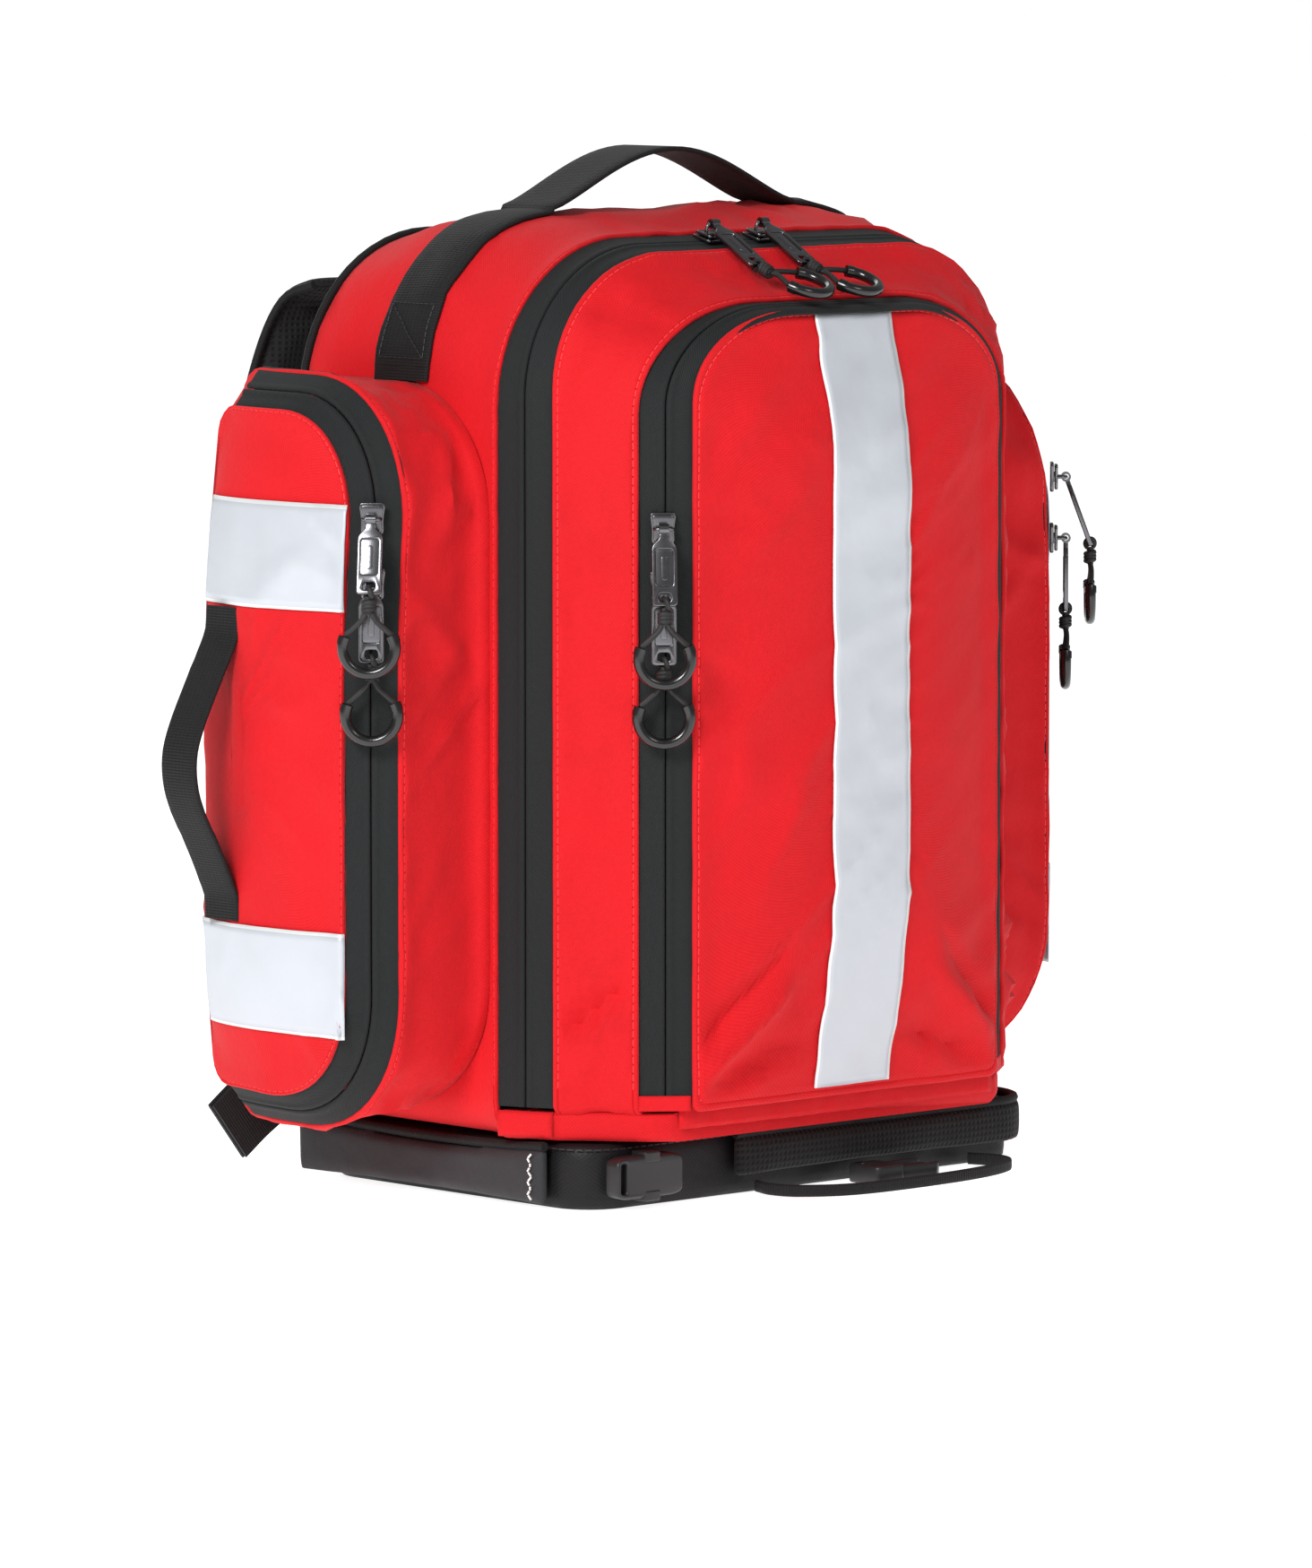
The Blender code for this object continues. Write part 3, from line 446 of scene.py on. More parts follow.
def subdivide(piece: Piece) -> Piece:
    """Smooths a piece with a Subdivision Surface.

    Args:
        piece: The piece.

    Returns:
        The piece.
    """
    smooth = piece.modifiers.new("smooth", "SUBSURF")
    smooth.levels = smooth.render_levels = 1
    return piece


class Skin:
    """A sheet of points in rows and columns, shaped before it becomes a mesh."""

    def __init__(self, points: object, wrap: bool = False,
                 inside: Sequence[float] = (0.0, 0.0, 0.22)) -> None:
        """Keeps the points. `inside` is a point on the sheet's inner side.

        Args:
            points: Points of the sheet, in rows.
            wrap: Whether its rows are closed.
            inside: A point on the sheet's inner side.
        """
        self.points = np.array(points, float)
        self.wrap = wrap
        self.inside = np.array(inside, float)

    def normals(self) -> np.ndarray:
        """Unit normals that point away from the inner side.

        Returns:
            One normal for each point.
        """
        if self.wrap:
            along = np.roll(self.points, -1, 1) - np.roll(self.points, 1, 1)
        else:
            along = np.gradient(self.points, axis=1)
        across = np.gradient(self.points, axis=0)
        normal = np.cross(along, across)
        normal /= np.maximum(np.linalg.norm(normal, axis=2, keepdims=True), 1e-12)
        facing = np.sum(normal * (self.points - self.inside))
        return normal if facing > 0 else -normal

    def push(self, amount: np.ndarray) -> "Skin":
        """Moves every point along its normal."""
        self.points = self.points + self.normals() * amount[..., None]
        return self

    def reach(self) -> tuple[np.ndarray, np.ndarray]:
        """Distance along the columns and along the rows, in metres.

        Returns:
            Both distances, each starting at 0.
        """
        points = self.points
        if self.wrap:
            points = np.concatenate([points, points[:, :1]], axis=1)
        across = np.linalg.norm(np.diff(points, axis=1), axis=2).mean(0)
        down = np.linalg.norm(np.diff(points, axis=0), axis=2).mean(1)
        return np.concatenate([[0], np.cumsum(across)]), np.concatenate([[0], np.cumsum(down)])

    def grid(self) -> Shape:
        """The sheet as a bmesh with a UV map in metres, facing outwards.

        Returns:
            The bmesh.
        """
        rows, columns = self.points.shape[:2]
        spans = columns if self.wrap else columns - 1
        shape = bmesh.new()
        bmesh.ops.create_grid(shape, x_segments=spans, y_segments=rows - 1, size=1.0)
        across, down = self.reach()
        layer = shape.loops.layers.uv.new("UVMap")
        spots = {}
        for vert in shape.verts:
            column = round((vert.co.x + 1) / 2 * spans)
            row = round((vert.co.y + 1) / 2 * (rows - 1))
            spots[vert] = (across[column], down[row])
            vert.co = Vector(self.points[row, column % columns])
        for face in shape.faces:
            for loop in face.loops:
                loop[layer].uv = spots[loop.vert]
        if self.wrap:
            bmesh.ops.remove_doubles(shape, verts=shape.verts[:], dist=1e-7)
        shape.normal_update()
        inside = Vector(self.inside)
        facing = sum(f.normal.dot(f.calc_center_median() - inside) * f.calc_area() for f in shape.faces)
        if facing < 0:
            bmesh.ops.reverse_faces(shape, faces=shape.faces[:])
        return shape


def tube_skin(centres: Sequence[Vector], profile: Callable[[int], Sequence[Spot]],
              across: Sequence[Vector], lift: Sequence[Vector]) -> np.ndarray:
    """Sweeps a closed profile along centres.

    Args:
        centres: Points of the centre line.
        profile: Gives the (across, lift) corners at each point's index.
        across: Direction of the profile's width at each point.
        lift: Direction of its thickness at each point.

    Returns:
        Rows of points, one row for each centre.
    """
    rows = []
    for i, centre in enumerate(centres):
        rows.append([centre + across[i] * a + lift[i] * b for a, b in profile(i)])
    return np.array(rows, float)


def close_ends(shape: Shape) -> Shape:
    """Caps every open loop and points the faces out.

    Args:
        shape: The shape, as a bmesh.

    Returns:
        The same shape.
    """
    edges = [e for e in shape.edges if e.is_boundary]
    bmesh.ops.holes_fill(shape, edges=edges, sides=0)
    bmesh.ops.recalc_face_normals(shape, faces=shape.faces[:])
    return shape


def blend_curve(a: object, b: object, c: object, d: object, t: float) -> object:
    """A Catmull-Rom curve's value between b and c, whose neighbours are a and d."""
    return 0.5 * (2 * b + (c - a) * t + (2 * a - 5 * b + 4 * c - d) * t ** 2
                  + (3 * b - a - 3 * c + d) * t ** 3)


def smooth_path(points: Sequence[Sequence[float]], steps: int) -> list[Vector]:
    """A Catmull-Rom curve through points, with `steps` points for each span.

    Args:
        points: Points that the curve goes through.
        steps: Points for each span.

    Returns:
        The curve's points, both ends included.
    """
    known = [Vector(p) for p in points]
    known = [known[0] * 2 - known[1], *known, known[-1] * 2 - known[-2]]
    path = []
    for a, b, c, d in zip(known, known[1:], known[2:], known[3:]):
        path += [blend_curve(a, b, c, d, step / steps) for step in range(steps)]
    path.append(known[-2])
    return path


def tangents(path: Sequence[Vector]) -> list[Vector]:
    """Unit direction of a path at each of its points."""
    last = len(path) - 1
    return [(path[min(i + 1, last)] - path[max(i - 1, 0)]).normalized() for i in range(len(path))]


def round_profile(radius: float, sides: int) -> list[Spot]:
    """Corners of a circle."""
    turn = 2 * math.pi / sides
    return [(radius * math.cos(turn * k), radius * math.sin(turn * k)) for k in range(sides)]


def cord_mesh(path: Sequence[Vector], radius: float, sides: int = 10) -> Shape:
    """A round cord along a path, carried without twist and closed at both ends.

    Args:
        path: Points of the centre line.
        radius: The radius.
        sides: Corners of its round section.

    Returns:
        The cord.
    """
    along = tangents(path)
    side = along[0].orthogonal().normalized()
    across, lift = [], []
    for direction in along:
        side = (side - direction * side.dot(direction)).normalized()
        across.append(side.copy())
        lift.append(direction.cross(side))
    ring = round_profile(radius, sides)
    return close_ends(Skin(tube_skin(path, lambda i: ring, across, lift), wrap=True).grid())


def strap_profile(width: float, thickness: float) -> list[Spot]:
    """Section of flat webbing with its selvedges rounded.

    Args:
        width: The width across.
        thickness: The whole thickness.

    Returns:
        Its corners, as distances across and up.
    """
    half, lift = width / 2, thickness / 2
    side = [(half - lift, lift), (half - lift * 0.3, lift * 0.7), (half, 0.0),
            (half - lift * 0.3, -lift * 0.7), (half - lift, -lift)]
    flat = [half * s for s in (0.6, 0.2, -0.2, -0.6)]
    return ([(a, lift) for a in reversed(flat)] + side + [(a, -lift) for a in flat]
            + [(-a, -b) for a, b in side])


def strap_mesh(path: Sequence[Vector], across: Vector, width: float, thickness: float) -> Shape:
    """Flat webbing along a path with its width along one direction.

    Args:
        path: Points of the centre line.
        across: Direction of the width.
        width: The width across.
        thickness: The whole thickness.

    Returns:
        The webbing.
    """
    ring = strap_profile(width, thickness)
    side = across.normalized()
    lift = [t.cross(side).normalized() for t in tangents(path)]
    skin = Skin(tube_skin(path, lambda i: ring, [side] * len(path), lift), wrap=True)
    return close_ends(skin.grid())


def merge(shape: Shape, other: Shape, turn: Optional[Matrix] = None) -> None:
    """Adds another bmesh's shape, placed by a matrix, and frees it.

    Args:
        shape: What is added to.
        other: What is added; it is freed.
        turn: Where it is placed.
    """
    if turn is not None:
        bmesh.ops.transform(other, matrix=turn, verts=other.verts[:])
    mesh = bpy.data.meshes.new("merge")
    other.to_mesh(mesh)
    other.free()
    shape.from_mesh(mesh)
    bpy.data.meshes.remove(mesh)


def plate_mesh(outlines: Sequence[Sequence[Spot]], thickness: float, soft: float) -> Shape:
    """A flat plate in the XY plane with holes, its rims rounded.

    Args:
        outlines: The outer outline, then those of its holes.
        thickness: The plate's whole thickness.
        soft: Radius of its rims.

    Returns:
        The plate, centred on Z.
    """
    curve = bpy.data.curves.new("plate", "CURVE")
    curve.dimensions, curve.fill_mode = "2D", "BOTH"
    curve.extrude, curve.bevel_depth, curve.bevel_resolution = thickness / 2 - soft, soft, 2
    curve.offset = -soft
    for outline in outlines:
        spline = curve.splines.new("POLY")
        spline.points.add(len(outline) - 1)
        for point, (x, y) in zip(spline.points, outline):
            point.co = (x, y, 0.0, 1.0)
        spline.use_cyclic_u = True
    holder = bpy.data.objects.new("plate", curve)
    bpy.context.scene.collection.objects.link(holder)
    bpy.context.view_layer.update()
    mesh = bpy.data.meshes.new_from_object(holder.evaluated_get(bpy.context.evaluated_depsgraph_get()))
    shape = bmesh.new()
    shape.from_mesh(mesh)
    bpy.data.objects.remove(holder)
    bpy.data.curves.remove(curve)
    bpy.data.meshes.remove(mesh)
    bmesh.ops.remove_doubles(shape, verts=shape.verts[:], dist=WELD)
    bmesh.ops.recalc_face_normals(shape, faces=shape.faces[:])
    return shape


def oblong(left: float, right: float, low: float, high: float) -> list[Spot]:
    """Corners of an upright rectangle."""
    return [(left, low), (right, low), (right, high), (left, high)]


def add_plate(shape: Shape, outlines: Sequence[tuple[Sequence[Spot], float]], thickness: float,
              soft: float, at: Optional[Place] = None) -> None:
    """Adds a plate to a shape.

    Args:
        shape: What it becomes a part of.
        outlines: The outer outline, then those of its holes, each with the radius of its corners.
        thickness: The plate's whole thickness.
        soft: Radius of its rims.
        at: Its centre, if that isn't the origin.
    """
    plate = plate_mesh([rounded(points, radius) for points, radius in outlines], thickness, soft)
    merge(shape, plate, None if at is None else Matrix.Translation(at))


def rounded(points: Sequence[Spot], radius: float, steps: int = 3) -> list[Spot]:
    """An outline with each corner rounded by short chords.

    Args:
        points: The outline's corners.
        radius: How far each corner is cut back.
        steps: Chords for each corner.

    Returns:
        The rounded outline.
    """
    smooth = []
    count = len(points)
    for i in range(count):
        here = Vector(points[i])
        back, ahead = Vector(points[i - 1]) - here, Vector(points[(i + 1) % count]) - here
        reach = min(radius, back.length * 0.45, ahead.length * 0.45)
        start, end = here + back.normalized() * reach, here + ahead.normalized() * reach
        for step in range(steps + 1):
            t = step / steps
            smooth.append(tuple((1 - t) ** 2 * start + 2 * t * (1 - t) * here + t ** 2 * end))
    return smooth


# ---- folds and seams -----------------------------------------------------------------
@dataclass(frozen=True)
class Folds:
    """Soft irregular folds drawn out along one direction."""

    along: Place
    pitch: float
    depth: float
    seed: float
    stretch: float = 3.5

    def at(self, points: np.ndarray) -> np.ndarray:
        """Height of the folds at each point of a sheet.

        Args:
            points: Points of the sheet, in rows.

        Returns:
            The heights.
        """
        along = Vector(self.along).normalized()
        flat = points.reshape(-1, 3)
        heights = np.empty(len(flat))
        offset = Vector((self.seed, self.seed * 1.7, -self.seed))
        for i, spot in enumerate(flat):
            place = Vector(spot) / self.pitch
            place -= along * place.dot(along) * (1 - 1 / self.stretch)
            bend = noise.noise(place * 0.5 + offset) * 0.8
            ridge = 1 - abs(noise.noise(place + offset + Vector((bend, bend, bend)))) * 2.4
            mask = 0.5 + 0.9 * noise.noise(Vector(spot) / (self.pitch * 3.2) + offset * 2)
            heights[i] = (max(0.0, ridge) ** 2 * max(0.0, min(1.0, mask)) - 0.25)
        return heights.reshape(points.shape[:2]) * self.depth


@dataclass(frozen=True)
class Crease:
    """One fold from a start to an end; a depth below zero sinks in."""

    start: Place
    end: Place
    width: float
    depth: float

    def at(self, points: np.ndarray) -> np.ndarray:
        """Height of the crease at each point of a sheet.

        Args:
            points: Points of the sheet, in rows.

        Returns:
            The heights.
        """
        start, end = np.array(self.start), np.array(self.end)
        line = end - start
        share = np.clip(((points - start) @ line) / (line @ line), 0, 1)
        away = np.linalg.norm(points - (start + share[..., None] * line), axis=2)
        taper = np.clip(np.minimum(share, 1 - share) * 6 + 0.25, 0, 1)
        return self.depth * np.exp(-(away / self.width) ** 2) * taper


EDGE_REACH = (0.0, 0.0001, 0.0004, 0.0011, 0.0020, 0.0026, 0.0032, 0.0050, 0.0080, 0.0120)
EDGE_LIFT = (0.0004, 0.0014, 0.0022, 0.0026, 0.0025, 0.0018, 0.0025, 0.0023, 0.0015, 0.0006)


def edge_lift(distance: np.ndarray) -> np.ndarray:
    """Height of a turned and stitched fabric edge at a distance from it."""
    return np.interp(distance, (*EDGE_REACH, 0.018), (*EDGE_LIFT, 0.0))


def edge_rows(length: float, pitch: float, far_edge: bool = False) -> list[float]:
    """Distances of a panel's rows from its first edge, dense where an edge is turned.

    Args:
        length: From the first edge to the last.
        pitch: Distance between rows away from an edge.
        far_edge: Whether the last edge is turned too.

    Returns:
        The distances, the first being 0.
    """
    rows = list(EDGE_REACH)
    stop = length - (EDGE_REACH[-1] if far_edge else 0.0)
    count = max(1, round((stop - rows[-1]) / pitch))
    rows += [rows[-1] + (stop - rows[-1]) * (k + 1) / count for k in range(count)]
    if far_edge:
        rows += [length - reach for reach in reversed(EDGE_REACH[:-1])]
    return rows


def pucker(run: np.ndarray, distance: np.ndarray, depth: float, seed: float) -> np.ndarray:
    """Small gathers along a stitched edge that fade away from it.

    Args:
        run: How far each point lies along its row.
        distance: How far each point lies from the edge.
        depth: The greatest height.
        seed: Which gathers of the endless row are used.

    Returns:
        The height at each point.
    """
    wave = np.empty(run.shape)
    for index, value in np.ndenumerate(run):
        wave[index] = noise.noise(Vector((value / 0.013, seed, 0.0)))
    return depth * wave * np.exp(-distance / 0.010)


class Thread(Enum):
    """The thread a seam is sewn with."""

    RED = "red_thread"
    BLACK = "black_thread"
    WHITE = "white_thread"


def stitches(name: str, path: Sequence[Vector], lifts: Sequence[Vector], thread: Thread,
             pitch: float = 0.0042, thick: float = 0.00032) -> Piece:
    """A row of lockstitches along a path.

    Args:
        name: The piece's name.
        path: Points on the cloth, close together.
        lifts: The cloth's normal at each point.
        thread: The thread's colour.
        pitch: From one stitch to the next.
        thick: The thread's radius.

    Returns:
        The row as one piece.
    """
    points = np.array([tuple(p) for p in path])
    run = np.concatenate([[0], np.cumsum(np.linalg.norm(np.diff(points, axis=0), axis=1))])
    normals = np.array([tuple(n) for n in lifts])
    count = max(1, int(run[-1] / pitch))
    shape = bmesh.new()
    for k in range(count):
        ends = []
        for share in (0.12, 0.88):
            at = (k + share) * run[-1] / count
            ends.append(Vector([np.interp(at, run, points[:, axis]) for axis in range(3)]))
        middle = (k + 0.5) * run[-1] / count
        normal = Vector([np.interp(middle, run, normals[:, axis]) for axis in range(3)]).normalized()
        along = (ends[1] - ends[0])
        turn = Matrix((normal.cross(along).normalized(), normal, along.normalized())).transposed().to_4x4()
        place = Matrix.Translation((ends[0] + ends[1]) / 2 + normal * thick * 0.35) @ turn
        bmesh.ops.create_cone(shape, cap_ends=True, segments=6, radius1=thick, radius2=thick,
                              depth=along.length, matrix=place)
    return finish_piece(name, shape, thread.value)


def spread(skin: Skin, distances: Sequence[float]) -> tuple[np.ndarray, np.ndarray]:
    """Gives every point of a closed sheet its run and its row's distance.

    Args:
        skin: The sheet, wrapped round.
        distances: Each row's distance from the sheet's edge.

    Returns:
        How far each point lies along its row, and how far its row lies from the edge.
    """
    run = skin.reach()[0][:-1]
    down = np.array(distances, float)
    return np.repeat(run[None, :], len(down), axis=0), np.repeat(down[:, None], len(run), axis=1)


def fill_hole(shape: Shape, beside: Callable[[Vector], bool]) -> None:
    """Closes the open loop whose points meet a test.

    Args:
        shape: The sheet.
        beside: Says of a point whether it is on the loop.
    """
    edges = [e for e in shape.edges if e.is_boundary and beside(e.verts[0].co)]
    bmesh.ops.holes_fill(shape, edges=edges, sides=0)


def stitch_row(skin: Skin, row: int, name: str, body: str, above: float = 0.0) -> None:
    """Sews a row of stitches in the groove beside a turned edge.

    Args:
        skin: The panel.
        row: Which of its rows lies in the groove.
        name: The new piece's name.
        body: What it rides on.
        above: Height below which no stitch is sewn.
    """
    spots, lifts = skin.points[row], skin.normals()[row]
    shown = [(Vector(spot), Vector(lift)) for spot, lift in zip(spots, lifts) if spot[2] > above]
    wear(stitches(name, *zip(*shown), Thread.RED), body)


def inflate(piece: Piece, voxel: float, pressure: float, cap: float) -> None:
    """Lets a closed pad swell as sewn foam does, then keeps the result.

    Args:
        piece: The pad, already the size of its foam.
        voxel: Spacing of the remeshed cloth.
        pressure: How hard the foam presses.
        cap: The furthest a point may move.
    """
    remesh = piece.modifiers.new("remesh", "REMESH")
    remesh.mode, remesh.voxel_size = "VOXEL", voxel
    graph = bpy.context.evaluated_depsgraph_get()
    materials = list(piece.data.materials)
    piece.data = bpy.data.meshes.new_from_object(piece.evaluated_get(graph))
    piece.modifiers.clear()
    rest = np.array([v.co for v in piece.data.vertices], float)
    cloth = piece.modifiers.new("cloth", "CLOTH")
    cloth.settings.quality = 4
    cloth.settings.mass = 0.25
    cloth.settings.tension_stiffness = cloth.settings.compression_stiffness = 12.0
    cloth.settings.bending_stiffness = 0.4
    cloth.settings.use_pressure = True
    cloth.settings.uniform_pressure_force = pressure
    cloth.settings.effector_weights.gravity = 0.0
    scene = bpy.context.scene
    for number in range(1, 21):
        scene.frame_set(number)
    swollen = piece.evaluated_get(bpy.context.evaluated_depsgraph_get())
    moved = np.array([v.co for v in swollen.data.vertices], float)
    shift = moved - rest
    length = np.linalg.norm(shift, axis=1, keepdims=True)
    shift *= np.minimum(1.0, cap / np.maximum(length, 1e-9))
    piece.modifiers.clear()
    piece.data.vertices.foreach_set("co", (rest + shift).ravel())
    scene.frame_set(1)
    piece.data.materials.clear()
    for item in materials:
        piece.data.materials.append(item)
    piece.data.shade_smooth()


def box_uv(piece: Piece) -> None:
    """Gives a remeshed pad a UV map in metres, from the side each face looks to.

    Args:
        piece: The piece.
    """
    mesh = piece.data
    layer = mesh.uv_layers.get("UVMap") or mesh.uv_layers.new(name="UVMap")
    for face in mesh.polygons:
        axis = max(range(3), key=lambda a: abs(face.normal[a]))
        u, v = [(1, 2), (0, 2), (0, 1)][axis]
        for loop in face.loop_indices:
            spot = mesh.vertices[mesh.loops[loop].vertex_index].co
            layer.data[loop].uv = (spot[u], spot[v])


def surface_of(*pieces: Piece) -> BVHTree:
    """A search tree of the shown surface of pieces, modifiers included.

    Args:
        pieces: The pieces.

    Returns:
        The search tree.
    """
    graph = bpy.context.evaluated_depsgraph_get()
    graph.update()
    joined = bmesh.new()
    for piece in pieces:
        joined.from_mesh(piece.evaluated_get(graph).to_mesh())
    tree = BVHTree.FromBMesh(joined)
    joined.free()
    return tree


# ---- outlines of the pack ------------------------------------------------------------
@dataclass(frozen=True)
class Spacing:
    """How many points each stretch of an outline gets."""

    side: int = 44
    corner: int = 14
    top: int = 22
    foot: int = 4
    bottom: int = 24


def quarter(centre: tuple[float, float], radii: tuple[float, float], start: float, end: float,
            count: int) -> list[Spot]:
    """Points of an ellipse's arc from an angle up to, but not including, another.

    Args:
        centre: The centre.
        radii: Its reach in both directions.
        start: The first angle, in degrees.
        end: The last angle, in degrees.
        count: How many points.

    Returns:
        The points.
    """
    points = []
    for k in range(count):
        angle = math.radians(start + (end - start) * k / count)
        points.append((centre[0] + radii[0] * math.cos(angle), centre[1] + radii[1] * math.sin(angle)))
    return points


def run_of(start: tuple[float, float], end: tuple[float, float], count: int) -> list[Spot]:
    """Points of a straight line from a start up to, but not including, its end."""
    return [(start[0] + (end[0] - start[0]) * k / count, start[1] + (end[1] - start[1]) * k / count)
            for k in range(count)]


def mixed(first: object, second: object, share: float) -> object:
    """An outline whose every size lies part of the way between those of two."""
    pairs = ((getattr(first, f.name), getattr(second, f.name)) for f in fields(first))
    return type(first)(*(a * (1 - share) + b * share for a, b in pairs))


@dataclass(frozen=True)
class Section:
    """One upright outline across the pack, wide at the top corners and tight at the feet."""

    y: float
    half: float
    low: float
    high: float
    wide: float
    tall: float
    foot: float

    def mix(self, other: "Section", share: float) -> "Section":
        """The outline part of the way to another."""
        return mixed(self, other, share)

    def over(self, spacing: Spacing, end: float) -> list[Spot]:
        """The outline up the left side, over the top and down the right side, without its last point.

        Args:
            spacing: How many points each stretch gets.
            end: Height of both its ends.

        Returns:
            The points.
        """
        half, high, wide, tall = self.half, self.high, self.wide, self.tall
        path = run_of((-half, end), (-half, high - tall), spacing.side)
        path += quarter((-half + wide, high - tall), (wide, tall), 180, 90, spacing.corner)
        path += run_of((-half + wide, high), (half - wide, high), spacing.top)
        path += quarter((half - wide, high - tall), (wide, tall), 90, 0, spacing.corner)
        path += run_of((half, high - tall), (half, end), spacing.side)
        return path

    def arch(self, spacing: Spacing, end: float) -> np.ndarray:
        """The open outline above a height, as points."""
        path = self.over(spacing, end) + [(self.half, end)]
        return np.array([(x, self.y, z) for x, z in path])

    def ring(self, spacing: Spacing) -> np.ndarray:
        """The closed outline as points.

        Args:
            spacing: How many points each stretch gets.

        Returns:
            The points.
        """
        half, low, foot = self.half, self.low, self.foot
        path = self.over(spacing, low + foot)
        path += quarter((half - foot, low + foot), (foot, foot), 0, -90, spacing.foot)
        path += run_of((half - foot, low), (-half + foot, low), spacing.bottom)
        path += quarter((-half + foot, low + foot), (foot, foot), -90, -180, spacing.foot)
        return np.array([(x, self.y, z) for x, z in path])


@dataclass(frozen=True)
class PocketSection:
    """One outline along a side pocket: low and high, a round front and a square rear."""

    x: float
    front: float
    rear: float
    low: float
    high: float
    corner: float
    heel: float

    def mix(self, other: "PocketSection", share: float) -> "PocketSection":
        """The outline part of the way to another."""
        return mixed(self, other, share)

    def around(self, spacing: Spacing) -> list[Spot]:
        """Along the bottom, up the front and back along the top, without the last point.

        Args:
            spacing: How many points each stretch gets.

        Returns:
            The points.
        """
        front, low, high, corner = self.front, self.low, self.high, self.corner
        end = self.rear - self.heel
        path = run_of((end, low), (front + corner, low), spacing.bottom)
        path += quarter((front + corner, low + corner), (corner, corner), -90, -180, spacing.corner)
        path += run_of((front, low + corner), (front, high - corner), spacing.side)
        path += quarter((front + corner, high - corner), (corner, corner), 180, 90, spacing.corner)
        path += run_of((front + corner, high), (end, high), spacing.bottom)
        return path

    def arch(self, spacing: Spacing, side: int) -> np.ndarray:
        """The open outline that the zip follows."""
        path = self.around(spacing) + [(self.rear - self.heel, self.high)]
        return np.array([(side * self.x, y, z) for y, z in path])

    def ring(self, spacing: Spacing, side: int) -> np.ndarray:
        """The closed outline as points.

        Args:
            spacing: How many points each stretch gets.
            side: -1 for the left, 1 for the right.

        Returns:
            The points.
        """
        rear, low, high, heel = self.rear, self.low, self.high, self.heel
        path = self.around(spacing)
        path += quarter((rear - heel, high - heel), (heel, heel), 90, 0, spacing.foot)
        path += run_of((rear, high - heel), (rear, low + heel), spacing.top)
        path += quarter((rear - heel, low + heel), (heel, heel), 0, -90, spacing.foot)
        return np.array([(side * self.x, y, z) for y, z in path])


HALF_WIDTH, CREST, LOW = 0.162, 0.475, 0.033
FOLD_FRONT, FOLD_TOP = -0.1155, 0.0475
MAIN_REAR = Section(-0.0488, HALF_WIDTH - 0.0016, LOW, CREST - 0.0123, 0.080, 0.080, 0.018)
MAIN_FRONT = Section(-0.0742, HALF_WIDTH - 0.0134, LOW, CREST - 0.0189, 0.068, 0.062, 0.018)
FRONT_REAR = Section(-0.1055, HALF_WIDTH - 0.0405, LOW, CREST - 0.043, 0.075, 0.050, 0.018)
FRONT_FRONT = Section(-0.1215, HALF_WIDTH - 0.0600, LOW, CREST - 0.0455, 0.062, 0.042, 0.018)
POCKET_WALL = (
    PocketSection(0.1628, -0.0375, 0.088, 0.048, 0.388, 0.058, 0.012),
    PocketSection(0.2195, -0.0420, 0.088, 0.038, 0.398, 0.070, 0.012),
)
DOOR = (
    PocketSection(0.2365, -0.0240, 0.087, 0.0535, 0.3825, 0.056, 0.012),
    PocketSection(0.2425, -0.0080, 0.083, 0.078, 0.360, 0.046, 0.014),
    PocketSection(0.2460, 0.0100, 0.076, 0.114, 0.326, 0.036, 0.016),
    PocketSection(0.2468, 0.0380, 0.048, 0.190, 0.250, 0.004, 0.003),
)


def curve_through(sections: Sequence, place: float) -> object:
    """The outline at a place along several, on a smooth curve through them.

    Args:
        sections: The outlines, in order.
        place: Where along them, 1 being the second outline.

    Returns:
        The outline there.
    """
    last = len(sections) - 1
    i = min(int(place), last - 1)
    picks = [sections[min(max(i + k, 0), last)] for k in (-1, 0, 1, 2)]
    values = [blend_curve(*(getattr(s, f.name) for s in picks), place - i) for f in fields(sections[0])]
    return type(sections[0])(*values)


def relief(points: np.ndarray, marks: Iterable[object]) -> np.ndarray:
    """Sum of several folds and creases at each point of a sheet."""
    return sum((mark.at(points) for mark in marks), np.zeros(points.shape[:2]))


